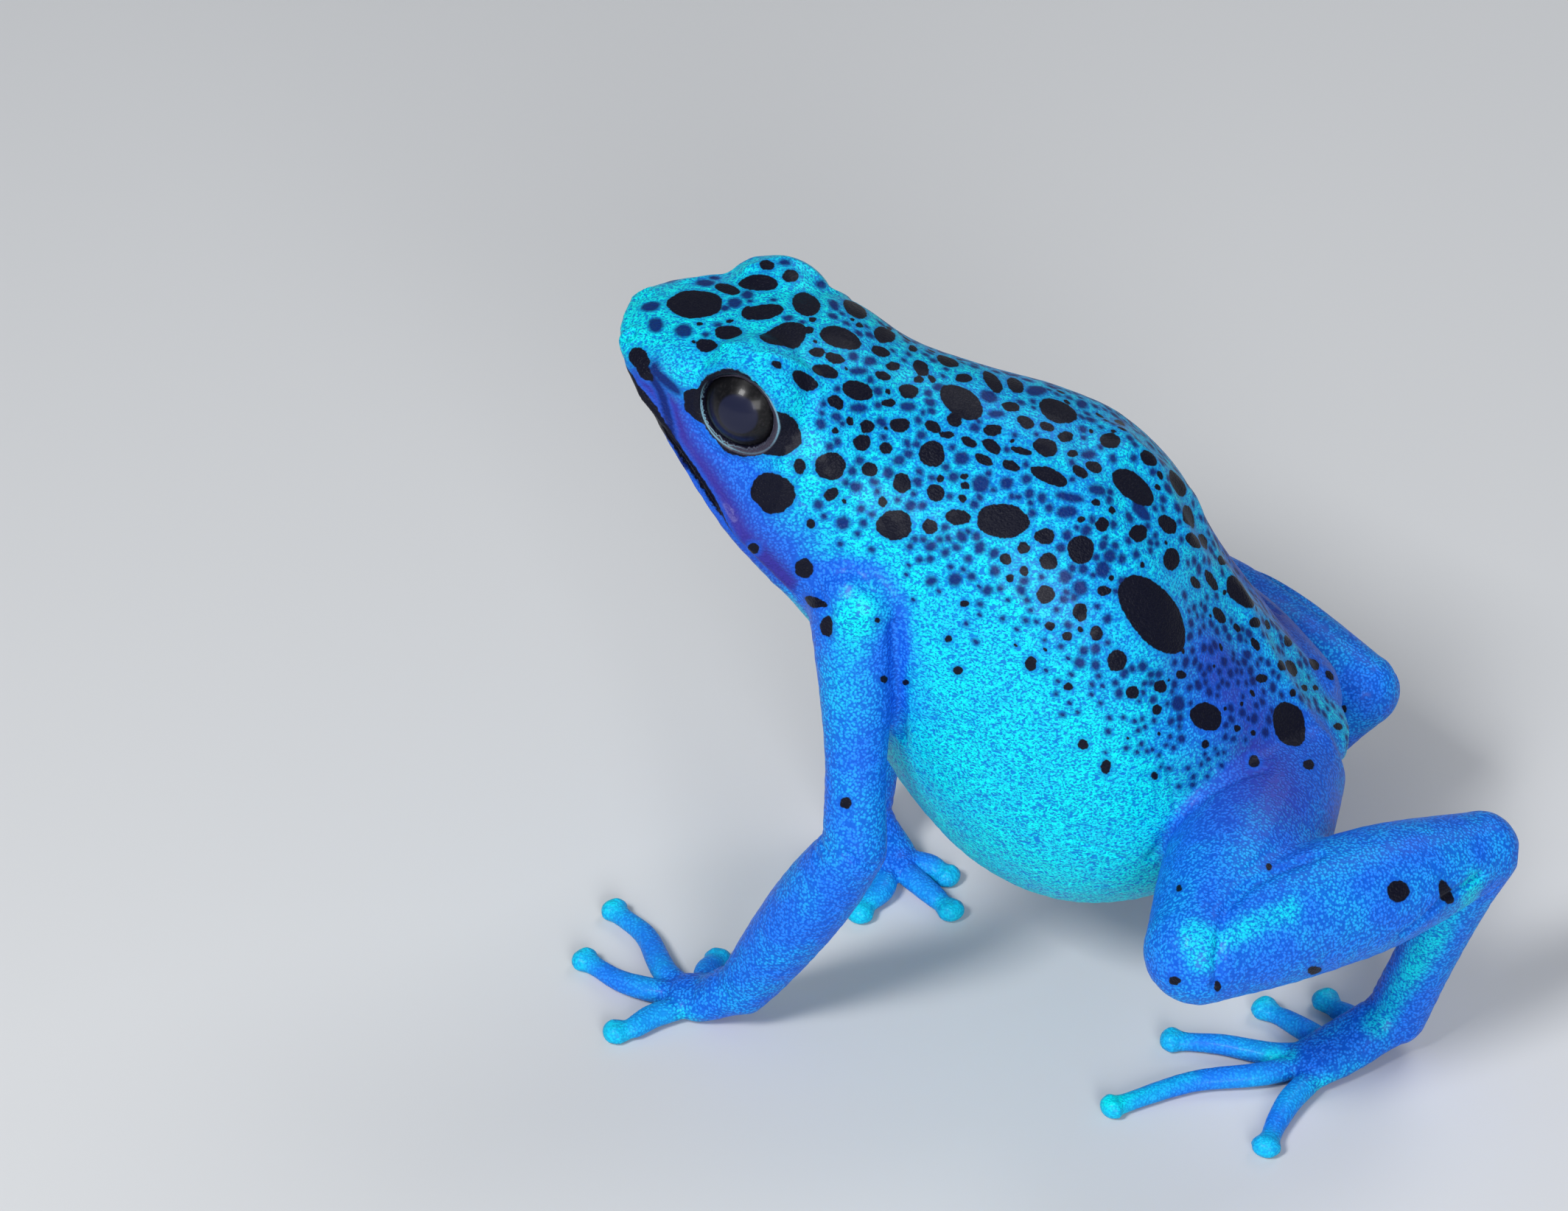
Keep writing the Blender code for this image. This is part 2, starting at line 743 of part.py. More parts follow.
for old in list(bpy.data.objects):
    bpy.data.objects.remove(old)

frog = head_and_torso()
for side in ("left", "right"):
    frog.update(arm(side))
    frog.update(leg(side))
finished(frog)
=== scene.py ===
"""Blue poison dart frog: the skin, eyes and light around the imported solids.

The skin is modelled in millimetres in the frog's own place, with its left side at +X and its snout
towards -Y, and is moved into the frame when it is whole.
"""

from math import pi, radians
from typing import NamedTuple

import bmesh
import bpy
import numpy as np
from mathutils import Matrix, Vector, noise
from mathutils.bvhtree import BVHTree
from mathutils.kdtree import KDTree


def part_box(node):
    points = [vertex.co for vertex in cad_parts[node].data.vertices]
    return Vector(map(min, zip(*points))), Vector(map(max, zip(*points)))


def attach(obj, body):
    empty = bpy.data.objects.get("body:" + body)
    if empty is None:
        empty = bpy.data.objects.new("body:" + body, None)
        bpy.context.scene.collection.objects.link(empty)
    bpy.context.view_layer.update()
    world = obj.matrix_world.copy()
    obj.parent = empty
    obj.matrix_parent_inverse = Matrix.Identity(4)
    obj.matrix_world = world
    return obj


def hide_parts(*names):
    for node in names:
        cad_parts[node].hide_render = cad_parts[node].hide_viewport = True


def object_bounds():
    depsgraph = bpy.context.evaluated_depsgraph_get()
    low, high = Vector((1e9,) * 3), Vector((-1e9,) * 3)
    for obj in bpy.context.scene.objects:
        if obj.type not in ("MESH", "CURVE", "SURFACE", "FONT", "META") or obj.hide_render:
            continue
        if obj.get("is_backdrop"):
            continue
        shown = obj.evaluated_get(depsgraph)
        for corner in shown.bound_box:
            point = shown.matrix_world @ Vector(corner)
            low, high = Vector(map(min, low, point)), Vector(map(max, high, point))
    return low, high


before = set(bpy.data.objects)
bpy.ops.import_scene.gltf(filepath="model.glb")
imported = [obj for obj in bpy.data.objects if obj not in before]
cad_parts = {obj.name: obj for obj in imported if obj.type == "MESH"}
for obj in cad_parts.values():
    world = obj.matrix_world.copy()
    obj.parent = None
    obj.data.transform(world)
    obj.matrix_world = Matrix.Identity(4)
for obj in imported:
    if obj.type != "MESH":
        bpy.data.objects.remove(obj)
cad_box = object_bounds()

# The camera stands where the photograph was taken from: over the frog's left side, a little
# behind the shoulder, looking down at 36 degrees. The frog's own millimetres are set off from the
# frame's by the place of the left eye.
MM = 0.001
EYE_CENTRE = np.array((3.5, 0.2, 34.2))
eye_low, eye_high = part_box("eye_left")
SHIFT = EYE_CENTRE - np.array((eye_low + eye_high) / 2) / MM

LOOK_AT = np.array((-3.5, 0.6, 17.0))
VIEW_AZIMUTH = 98.0
VIEW_ELEVATION = 36.0
VIEW_DISTANCE = 262.72
LENS = 120.0
SENSOR = 36.0
PHOTO_SIZE = (2128, 1644)

view_back = np.array((
    np.sin(radians(VIEW_AZIMUTH)) * np.cos(radians(VIEW_ELEVATION)),
    -np.cos(radians(VIEW_AZIMUTH)) * np.cos(radians(VIEW_ELEVATION)),
    np.sin(radians(VIEW_ELEVATION)),
))
view_right = np.array((np.cos(radians(VIEW_AZIMUTH)), np.sin(radians(VIEW_AZIMUTH)), 0.0))
view_up = np.cross(view_back, view_right)
view_place = LOOK_AT + view_back * VIEW_DISTANCE
pixels_per_slope = PHOTO_SIZE[0] * LENS / SENSOR

camera = bpy.data.objects.new("camera", bpy.data.cameras.new("camera"))
bpy.context.scene.collection.objects.link(camera)
camera.data.lens = LENS
camera.data.sensor_width = SENSOR
camera.data.clip_start = 0.01
camera.data.clip_end = 10.0
turn = Matrix(np.column_stack((view_right, view_up, view_back)).tolist())
camera.matrix_world = Matrix.Translation(Vector((view_place - SHIFT) * MM)) @ turn.to_4x4()
bpy.context.scene.camera = camera

# Torso and head: one soft body with a thin, tight skin, sitting up on its arms. It is lofted
# through the same cross-sections as the solids, from the snout to the vent, at a finer pitch.
class Station(NamedTuple):
    """One cross-section of the body: its top and bottom on the midline, and how round it is."""

    back_y: float
    back_z: float
    belly_y: float
    belly_z: float
    half_width: float
    widest: float
    back_power: float
    belly_power: float


BODY = (
    Station(-6.65, 35.70, -6.70, 35.40, 0.5, 0.50, 2.0, 2.0),
    Station(-6.35, 36.05, -6.50, 34.95, 1.9, 0.50, 2.1, 2.0),
    Station(-5.60, 36.35, -5.90, 34.20, 3.3, 0.45, 2.3, 2.2),
    Station(-3.90, 36.60, -4.70, 32.35, 4.9, 0.36, 2.5, 2.3),
    Station(-1.50, 36.75, -2.80, 29.75, 6.1, 0.27, 2.7, 2.4),
    Station(1.20, 36.80, -0.95, 26.95, 6.8, 0.25, 2.6, 2.4),
    Station(4.20, 36.10, 1.00, 23.80, 7.0, 0.32, 2.4, 2.3),
    Station(7.20, 34.55, 3.00, 20.40, 7.2, 0.42, 2.0, 2.2),
    Station(10.80, 33.30, 5.00, 16.00, 7.9, 0.46, 2.0, 2.1),
    Station(14.30, 32.25, 7.40, 11.20, 8.9, 0.45, 2.1, 2.1),
    Station(17.55, 30.75, 10.90, 7.30, 9.6, 0.43, 2.1, 2.1),
    Station(20.30, 27.80, 15.00, 5.60, 9.7, 0.42, 2.1, 2.1),
    Station(22.30, 23.90, 19.20, 6.00, 9.0, 0.44, 2.0, 2.1),
    Station(24.70, 20.40, 22.70, 7.90, 7.5, 0.46, 2.0, 2.0),
    Station(27.20, 17.10, 25.90, 10.60, 5.2, 0.48, 2.0, 2.0),
    Station(28.80, 15.20, 28.20, 12.80, 2.8, 0.50, 2.0, 2.0),
    Station(29.30, 14.50, 29.00, 13.60, 1.0, 0.50, 2.0, 2.0),
)
BODY_RINGS = 150
BODY_SEGMENTS = 110


def between(points, at):
    """The values at fractional indices in a list of rows, on a smooth curve through them."""
    points = np.asarray(points, float)
    last = len(points) - 1
    at = np.atleast_1d(np.asarray(at, float))
    index = np.minimum(at.astype(int), last - 1)
    t = (at - index)[:, None]
    a, b = points[np.maximum(index - 1, 0)], points[index]
    c, d = points[index + 1], points[np.minimum(index + 2, last)]
    return b + 0.5 * t * (c - a + t * (2 * a - 5 * b + 4 * c - d + t * (3 * b - a - 3 * c + d)))


def rounded(value, power):
    """The superellipse form of a sine or cosine: 2 gives a circle, and more is squarer."""
    return np.abs(value) ** (2 / power) * np.sign(value)


def body_rings(count, segments):
    """Rings of points round the body from snout to vent, each from its left side over the back."""
    rows = between(BODY, np.linspace(0, len(BODY) - 1, count))
    turn = 2 * pi * np.arange(segments) / segments
    over = np.sin(turn) >= 0
    rings = []
    for s in (Station(*row) for row in rows):
        belly = np.array((0, s.belly_y, s.belly_z))
        rise = np.array((0, s.back_y, s.back_z)) - belly
        length = np.linalg.norm(rise)
        power = np.where(over, s.back_power, s.belly_power)
        side = rounded(np.cos(turn), power) * s.half_width
        lift = rounded(np.sin(turn), power) * length * np.where(over, 1 - s.widest, s.widest)
        middle = belly + rise * s.widest
        rings.append(middle + side[:, None] * np.array((1, 0, 0)) + lift[:, None] * rise / length)
    return np.array(rings)


flesh = bmesh.new()


def add_rings(rings):
    """Close a tube of rings, with flat ends, and add it to the flesh."""
    rows = [[flesh.verts.new(point) for point in ring] for ring in rings]
    faces = [flesh.faces.new(rows[0]), flesh.faces.new(rows[-1])]
    for lower, upper in zip(rows, rows[1:]):
        for k, vertex in enumerate(lower):
            beside = (k + 1) % len(lower)
            faces.append(flesh.faces.new((vertex, lower[beside], upper[beside], upper[k])))
    bmesh.ops.recalc_face_normals(flesh, faces=faces)


add_rings(body_rings(BODY_RINGS, BODY_SEGMENTS))

# Eye bulges: the skull carries each eye in a round swelling that stands out of the head. Each is
# a ball of flesh here, and the lids are pressed into it once the skin is whole.
EYE_RADIUS = 2.4
BULGE_RADIUS = 3.0
MIRROR = {"left": np.array((1, 1, 1)), "right": np.array((-1, 1, 1))}
BALL_DETAIL = 5

for mirror in MIRROR.values():
    bmesh.ops.create_icosphere(
        flesh,
        subdivisions=BALL_DETAIL,
        radius=BULGE_RADIUS,
        matrix=Matrix.Translation(Vector(EYE_CENTRE * mirror)),
    )


# Arms and hands: each arm is two round stretches of flesh with a flat palm and four fingers that
# end in a round disc. Each stretch is a tube with round ends, and they are fused with the body.
class Arm(NamedTuple):
    """The places that one arm passes through, and the tip of each finger."""

    shoulder: tuple
    elbow: tuple
    wrist: tuple
    palm: tuple
    palm_front: tuple
    knuckles: tuple
    bends: tuple
    tips: tuple


ARMS = (
    Arm(
        shoulder=(6.4, 5.6, 25.0),
        elbow=(10.0, 5.95, 12.7),
        wrist=(8.9, 0.35, 2.35),
        palm=(8.3, -1.7, 0.9),
        palm_front=(8.1, -2.9, 0.75),
        knuckles=((6.1, -2.0), (6.5, -4.0), (7.8, -4.7), (9.7, -4.0)),
        bends=((5.2, -1.7), (3.6, -5.5), (7.2, -6.3), (10.7, -5.0)),
        tips=((4.2, -1.5), (1.2, -7.9), (5.4, -8.8), (11.3, -6.4)),
    ),
    Arm(
        shoulder=(-6.4, 5.6, 25.0),
        elbow=(-9.6, 4.3, 12.8),
        wrist=(-5.6, 4.55, 2.4),
        palm=(-4.3, 5.9, 0.9),
        palm_front=(-3.5, 6.3, 0.75),
        knuckles=((-4.1, 8.0), (-2.7, 7.6), (-1.9, 6.0), (-3.1, 4.4)),
        bends=((-3.8, 8.7), (-1.6, 8.8), (-0.8, 5.4), (-2.8, 3.3)),
        tips=((-3.3, 9.7), (-0.4, 10.1), (0.6, 4.8), (-2.3, 1.7)),
    ),
)
UPPER_ARM = ((0.0, 2.5), (0.3, 1.95), (0.65, 1.5), (1.0, 1.6))
FOREARM = ((0.0, 1.6), (0.3, 1.9), (0.65, 1.8), (1.0, 1.4))
PALM_SHAPE = ((0.9, 1.0), (0.92, 0.85), (1.0, 0.65), (0.95, 0.55))
PALM_FLESH = ((0.0, 0.9), (1.0, 0.6))
HAND_HALF_WIDTH = 1.55
FINGER_HALF_WIDTH = 0.62
PAD_HALF_WIDTH = 0.76
DIGIT_ROOT = 0.8
DIGIT_HEIGHT = 0.45
ROOT_LIFT = 0.25
KNUCKLE_LIFT = 0.2
BEND_LIFT = 0.08
KNUCKLE_WIDTH = 1.08
BEND_WIDTH = 0.95
NECK_WIDTH = 0.85
PAD_FRONT_WIDTH = 0.9
PAD_PLACES = (1.7, 0.8, 0.7, 0.55)
DIGIT_FLATNESS = 0.85
PAD_FLATNESS = 0.7
CAP_ANGLES = (80, 65, 50, 35, 18, 0)
STEEP_RISE = 0.9
LIMB_STEPS = 6
LIMB_SEGMENTS = 40
DIGIT_SEGMENTS = 24

limb_runs = []
digit_runs = []
pad_places = []


def add_limb(knots, segments):
    """Add a tube with round ends through knots of place, half width and flatness."""
    count = (len(knots) - 1) * LIMB_STEPS
    samples = between(knots, np.arange(count + 1) / LIMB_STEPS)
    rings = []
    for i, sample in enumerate(samples):
        along = samples[min(i + 1, count), :3] - samples[max(i - 1, 0), :3]
        along = along / np.linalg.norm(along)
        level = np.array((0, 0, 1)) if abs(along[2]) < STEEP_RISE else np.array((0, -1, 0))
        side = np.cross(along, level)
        side = side / np.linalg.norm(side)
        up = np.cross(side, along)
        thick = sample[3] * sample[4]
        ends = (0,)
        if i == 0:
            ends = CAP_ANGLES
        elif i == count:
            ends = [-angle for angle in reversed(CAP_ANGLES)]
        for angle in np.radians(ends):
            turn = 2 * pi * np.arange(segments) / segments
            ring = np.outer(np.cos(turn) * sample[3], side) + np.outer(np.sin(turn) * thick, up)
            rings.append(sample[:3] - along * np.sin(angle) * thick + ring * np.cos(angle))
    add_rings(rings)


def add_segment(start, end, sizes):
    """Add a straight round stretch of a limb, whose half widths are set along its length."""
    start, end = np.array(start), np.array(end)
    knots = [(*(start + (end - start) * share), size, 1.0) for share, size in sizes]
    add_limb(knots, LIMB_SEGMENTS)
    limb_runs.append((start, end, sizes))


def add_digit(middle, knuckle, bend, tip, half_width):
    """Add a finger or toe that runs along the floor from inside the palm to its round disc.

    The neck and the disc's back, middle and front lie PAD_PLACES times its half width from the tip.
    """
    knuckle, bend, tip = np.array(knuckle), np.array(bend), np.array(tip)
    last = (tip - bend) / np.linalg.norm(tip - bend)
    root = knuckle + (np.array(middle[:2]) - knuckle) * DIGIT_ROOT
    neck, pad_back, pad_middle, pad_front = (
        tip - last * PAD_HALF_WIDTH * share for share in PAD_PLACES
    )
    front_width = PAD_HALF_WIDTH * PAD_FRONT_WIDTH
    knots = [
        (*root, DIGIT_HEIGHT + ROOT_LIFT, half_width, 1.0),
        (*knuckle, DIGIT_HEIGHT + KNUCKLE_LIFT, half_width * KNUCKLE_WIDTH, DIGIT_FLATNESS),
        (*bend, DIGIT_HEIGHT + BEND_LIFT, half_width * BEND_WIDTH, DIGIT_FLATNESS),
        (*neck, DIGIT_HEIGHT, half_width * NECK_WIDTH, DIGIT_FLATNESS),
        (*pad_back, DIGIT_HEIGHT, PAD_HALF_WIDTH, PAD_FLATNESS),
        (*pad_front, DIGIT_HEIGHT, front_width, PAD_FLATNESS),
    ]
    add_limb(knots, DIGIT_SEGMENTS)
    run_start, run_end, disc = (
        np.array((*place, DIGIT_HEIGHT)) for place in (knuckle, tip, pad_middle)
    )
    digit_runs.append((run_start, run_end, half_width))
    pad_places.append((disc, last))


def add_palm(joint, middle, front, width, limb, half_width):
    """Add a palm or sole that spreads from the wrist or ankle, with its digits."""
    joint, middle, front = np.array(joint), np.array(middle), np.array(front)
    places = (joint, (joint + middle) / 2, middle, front)
    knots = [(*place, width * wide, flat) for place, (wide, flat) in zip(places, PALM_SHAPE)]
    add_limb(knots, LIMB_SEGMENTS)
    limb_runs.append((joint, front, [(share, width * wide) for share, wide in PALM_FLESH]))
    for knuckle, bend, tip in zip(limb.knuckles, limb.bends, limb.tips):
        add_digit(middle, knuckle, bend, tip, half_width)


for arm in ARMS:
    add_segment(arm.shoulder, arm.elbow, UPPER_ARM)
    add_segment(arm.elbow, arm.wrist, FOREARM)
    add_palm(arm.wrist, arm.palm, arm.palm_front, HAND_HALF_WIDTH, arm, FINGER_HALF_WIDTH)


# Legs and feet: thigh and shank fold together beside the rump, and the long tarsus comes down
# from the heel to the sole and its five toes. They are made as the arms are.
class Leg(NamedTuple):
    """The places that one leg passes through, and the tip of each toe."""

    hip: tuple
    knee: tuple
    heel: tuple
    ankle: tuple
    sole: tuple
    sole_front: tuple
    knuckles: tuple
    bends: tuple
    tips: tuple


LEGS = (
    Leg(
        hip=(3.0, 26.1, 13.7),
        knee=(16.0, 23.1, 13.2),
        heel=(6.5, 36.0, 13.1),
        ankle=(6.2, 32.7, 2.1),
        sole=(7.9, 30.2, 1.1),
        sole_front=(9.2, 28.6, 0.8),
        knuckles=((5.3, 30.6), (6.6, 28.6), (8.4, 27.0), (9.9, 26.6), (11.3, 28.1)),
        bends=((4.5, 29.9), (5.6, 27.4), (7.9, 24.3), (10.9, 23.0), (13.1, 27.4)),
        tips=((3.2, 28.8), (4.4, 25.7), (7.8, 21.2), (13.5, 18.8), (15.6, 26.8)),
    ),
    Leg(
        hip=(-3.0, 25.6, 14.1),
        knee=(-15.6, 15.9, 12.9),
        heel=(-8.7, 29.7, 10.9),
        ankle=(-9.6, 24.5, 2.1),
        sole=(-12.0, 22.8, 1.1),
        sole_front=(-13.4, 21.4, 0.8),
        knuckles=((-9.6, 22.1), (-11.2, 20.7), (-13.2, 19.9), (-14.5, 20.1), (-15.4, 21.7)),
        bends=((-9.0, 21.2), (-10.6, 19.3), (-13.1, 17.0), (-16.6, 16.6), (-17.4, 21.4)),
        tips=((-8.2, 19.8), (-9.9, 17.3), (-13.5, 13.9), (-19.6, 12.8), (-19.9, 21.4)),
    ),
)
THIGH = ((0.0, 3.2), (0.3, 3.65), (0.65, 3.4), (1.0, 2.6))
SHANK = ((0.0, 2.6), (0.3, 3.0), (0.65, 2.95), (1.0, 1.95))
TARSUS = ((0.0, 1.95), (0.25, 1.65), (0.65, 1.5), (1.0, 1.55))
FOOT_HALF_WIDTH = 1.6
TOE_HALF_WIDTH = 0.6

for leg in LEGS:
    add_segment(leg.hip, leg.knee, THIGH)
    add_segment(leg.knee, leg.heel, SHANK)
    add_segment(leg.heel, leg.ankle, TARSUS)
    add_palm(leg.ankle, leg.sole, leg.sole_front, FOOT_HALF_WIDTH, leg, TOE_HALF_WIDTH)

# The skin itself: one thin hide over all the flesh. The flesh is fused into one closed surface
# with an even grid, its grain is smoothed out without shrinking it, and the seams where limbs
# join are eased into soft creases.
SKIN_PITCH = 0.10
SMOOTH_AREA = 0.12
SMOOTH_STEP = 0.6
SWELL_STEP = 0.62
CREASE_AREA = 1.0
CREASE_SPREAD = 0.12
CREASE_HOLLOW = (0.0, 0.25)
CREASE_PAST_DIGIT = (0.2, 1.4)
LIMB_EDGE = (0.8, 0.2)
FAR = 99.0

flesh_mesh = bpy.data.meshes.new("skin")
flesh.to_mesh(flesh_mesh)
flesh.free()
skin = bpy.data.objects.new("skin", flesh_mesh)
bpy.context.scene.collection.objects.link(skin)
fuse = skin.modifiers.new("Fuse", "REMESH")
fuse.mode = "VOXEL"
fuse.voxel_size = SKIN_PITCH
fuse.use_smooth_shade = True
hide = bpy.data.meshes.new_from_object(skin.evaluated_get(bpy.context.evaluated_depsgraph_get()))
skin.modifiers.clear()
skin.data = hide
bpy.data.meshes.remove(flesh_mesh)
hide.name = "skin"

count = len(hide.vertices)
co = np.empty(count * 3, np.float32)
hide.vertices.foreach_get("co", co)
co = co.reshape(-1, 3).astype(float)
edges = np.empty(len(hide.edges) * 2, np.int32)
hide.edges.foreach_get("vertices", edges)
edges = edges.reshape(-1, 2)
neighbours = np.bincount(edges.ravel(), minlength=count)


def smoothstep(low, high, value):
    """0 at low, 1 at high and a soft rise between them."""
    t = np.clip((value - low) / (high - low), 0, 1)
    return t * t * (3 - 2 * t)


def bell(distance, reach):
    """1 where the distance is 0, falling softly to nothing past its reach."""
    return np.exp(-((distance / reach) ** 2))


def averaged(values):
    """The mean of each vertex's neighbours, for a value or a row of values at each vertex."""
    columns = values.reshape(count, -1)
    total = np.empty_like(columns)
    for k in range(columns.shape[1]):
        column = columns[:, k]
        total[:, k] = np.bincount(edges[:, 0], column[edges[:, 1]], count)
        total[:, k] += np.bincount(edges[:, 1], column[edges[:, 0]], count)
    return (total / neighbours[:, None]).reshape(values.shape)


def softened(values, area):
    """Values averaged over about an area in square millimetres round each vertex."""
    for _ in range(int(area / SKIN_PITCH**2)):
        values = averaged(values)
    return values


def set_skin():
    """Put the vertices where they now are, and return the direction that each faces."""
    hide.vertices.foreach_set("co", co.astype(np.float32).ravel())
    hide.update()
    facing = np.empty(count * 3, np.float32)
    hide.vertex_normals.foreach_get("vector", facing)
    return facing.reshape(-1, 3).astype(float)


def run_distance(start, end):
    """How far each vertex lies from a line between two places, and how far along it."""
    way = end - start
    share = np.clip((co - start) @ way / max(way @ way, 1e-9), 0, 1)
    return np.linalg.norm(co - start - share[:, None] * way, axis=1), share


for _ in range(int(SMOOTH_AREA / SKIN_PITCH**2)):
    co += (averaged(co) - co) * SMOOTH_STEP
    co -= (averaged(co) - co) * SWELL_STEP

near_digit = np.full(count, FAR)
for start, end, half_width in digit_runs:
    near_digit = np.minimum(near_digit, run_distance(start, end)[0] - half_width)
facing = set_skin()
hollow = softened(((averaged(co) - co) * facing).sum(axis=1) / SKIN_PITCH**2, CREASE_SPREAD)
crease = softened(smoothstep(*CREASE_HOLLOW, hollow), CREASE_SPREAD)
crease *= smoothstep(*CREASE_PAST_DIGIT, near_digit)
for _ in range(int(CREASE_AREA / SKIN_PITCH**2)):
    co += (averaged(co) - co) * SMOOTH_STEP * crease[:, None]

limb_depth = np.full(count, FAR)
for start, end, sizes in limb_runs:
    distance, share = run_distance(start, end)
    limb_depth = np.minimum(limb_depth, distance - np.interp(share, *zip(*sizes)))
on_limb = softened(smoothstep(*LIMB_EDGE, np.minimum(limb_depth, near_digit)), CREASE_SPREAD)

# The face: lids round each eye, the line of the mouth with its lips, the nostrils, and a faint
# ear disc behind each eye, with the vent at the other end. All are pressed into the skin, which
# passes behind the front of the eyeball inside the lids.
MOUTH_FRONT = np.array((0.0, -6.6, 35.3))
MOUTH_CORNER = np.array((0.0, 2.4, 24.9))
MOUTH_END = (0.5, -1.0)
MOUTH_CLEAR = (0.6, 0.2)
GROOVE_DEPTH = 0.30
GROOVE_WIDTH = 0.13
LIP_RISE = 0.10
LIP_OUT = 0.42
LIP_WIDTH = 0.26
NOSTRIL = np.array((1.9, -5.95, 35.95))
NOSTRIL_PIT = (0.45, 0.24, 0.10)
EYE_AXIS = np.array((0.95, -0.36, 0.06))
LID_EDGE_FORTH = 1.67
LID_EDGE_OUT = 1.90
LID_INNER_SLOPE = 2.6
LID_RIM = 0.13
LID_RIM_OUT = 0.30
LID_CREASE = 0.10
LID_CREASE_OUT = 0.85
LID_FOLD_WIDTH = 0.20
LID_REACH = 2.0
CHEEK_SLOPE = 0.24
CHEEK_REACH = (6.2, 4.6)
SOCKET_RADIUS = 2.1
FIELD_REACH = 0.6
EAR = np.array((6.5, 3.3, 31.2))
EAR_RADIUS = 0.75
EAR_RIM = 0.07
EAR_RIM_WIDTH = 0.14
EAR_DEPTH = 0.05
EAR_FALL = (0.1, -0.3)
VENT = np.array((0.0, 28.9, 13.4))
VENT_PIT = (0.35, 0.32, 0.16)
PIT_LIP_OUT = 2.0
PIT_LIP_WIDTH = 0.8

# Round each eye, at degrees of turn from straight up towards the snout, in millimetres from the
# lid's edge: how far the black mask and the grey band reach, and where the silver line lies. The
# last row is the silver line's brightness.
MASK_REACH = (
    (0, 0.50), (40, 0.42), (70, 0.35), (84, 0.95), (104, 0.95), (122, 0.22), (150, 0.24),
    (172, 0.45), (200, 0.38), (222, 0.45), (238, 1.05), (255, 1.50), (275, 1.00), (292, 0.42),
    (320, 0.42),
)
BAND_REACH = (
    (0, 0.25), (20, 0.10), (60, 0), (90, 0.10), (135, 0.14), (180, 0.28), (225, 0.42), (270, 0.48),
    (300, 0.42), (330, 0.36),
)
SILVER_PLACE = ((0, 0.33), (90, 0.07), (180, 0.16), (235, 0.38), (270, 0.46), (300, 0.40))
SILVER_SHARE = (
    (0, 0.1), (50, 0), (85, 0.6), (100, 1), (160, 1), (190, 0.3), (240, 0.3), (265, 1), (305, 1),
    (330, 0.2),
)


def pit(place, depth, width, lip):
    """Press a small round hole with a raised lip into the skin."""
    gap = np.linalg.norm(co - place, axis=1)
    raised = lip * bell(gap - width * PIT_LIP_OUT, width * PIT_LIP_WIDTH)
    raised -= depth * bell(gap, width)
    return co + facing * raised[:, None]


facing = set_skin()
eye_mask = np.full(count, -FIELD_REACH)
lid_band = np.full(count, -FIELD_REACH)
lid_line = np.full(count, FIELD_REACH)
lid_share = np.zeros(count)
for mirror in MIRROR.values():
    axis = EYE_AXIS * mirror / np.linalg.norm(EYE_AXIS)
    offset = co - EYE_CENTRE * mirror
    forth = offset @ axis
    outward = offset - forth[:, None] * axis
    off_axis = np.linalg.norm(outward, axis=1)
    rim = LID_RIM * bell(off_axis - LID_EDGE_OUT - LID_RIM_OUT, LID_FOLD_WIDTH)
    crease = LID_CREASE * bell(off_axis - LID_EDGE_OUT - LID_CREASE_OUT, LID_FOLD_WIDTH)
    cheek = LID_EDGE_FORTH + CHEEK_SLOPE * (off_axis - LID_EDGE_OUT) + rim - crease
    socket = np.sqrt(np.maximum(SOCKET_RADIUS**2 - off_axis**2, 0))
    inner = np.maximum(socket, LID_EDGE_FORTH - LID_INNER_SLOPE * (LID_EDGE_OUT - off_axis))
    ceiling = np.where(off_axis < LID_EDGE_OUT, inner, cheek)
    press = np.maximum(forth - ceiling, 0) * smoothstep(*CHEEK_REACH, off_axis) * (forth > 0)
    co -= press[:, None] * axis
    forth -= press
    upright = np.array((0, 0, 1)) - axis * axis[2]
    forward = np.cross(axis, upright) * mirror[0]
    clock = np.degrees(np.arctan2(outward @ forward, outward @ upright))
    mask, band, line, share = (
        np.interp(clock, *zip(*rows), period=360)
        for rows in (MASK_REACH, BAND_REACH, SILVER_PLACE, SILVER_SHARE)
    )
    past = np.hypot(forth - LID_EDGE_FORTH, off_axis - LID_EDGE_OUT)
    eye_mask = np.maximum(eye_mask, mask - past)
    outside = off_axis > LID_EDGE_OUT
    near_lid = past < LID_REACH
    in_band = np.maximum(np.where(outside, band - past, -past), -FIELD_REACH)
    off_line = np.minimum(np.where(outside, past - line, past + line), FIELD_REACH)
    lid_band[near_lid] = in_band[near_lid]
    lid_line[near_lid] = off_line[near_lid]
    lid_share[near_lid] = share[near_lid]

facing = set_skin()
mouth_length = np.linalg.norm(MOUTH_CORNER - MOUTH_FRONT)
mouth_way = (MOUTH_CORNER - MOUTH_FRONT) / mouth_length
mouth_across = np.array((0.0, -mouth_way[2], mouth_way[1]))
along_mouth = (co - MOUTH_FRONT) @ mouth_way
off_mouth = (co - MOUTH_FRONT) @ mouth_across
past_corner, before_corner = (mouth_length + step for step in MOUTH_END)
lips = smoothstep(past_corner, before_corner, along_mouth) * smoothstep(*MOUTH_CLEAR, on_limb)
groove = LIP_RISE * bell(np.abs(off_mouth) - LIP_OUT, LIP_WIDTH)
groove -= GROOVE_DEPTH * bell(off_mouth, GROOVE_WIDTH)
co += facing * (groove * lips)[:, None]
for mirror in MIRROR.values():
    co = pit(NOSTRIL * mirror, *NOSTRIL_PIT)
    ring = np.linalg.norm(co - EAR * mirror, axis=1) - EAR_RADIUS
    sunk = EAR_RIM * bell(ring, EAR_RIM_WIDTH) + EAR_DEPTH * smoothstep(*EAR_FALL, ring)
    co -= facing * sunk[:, None]
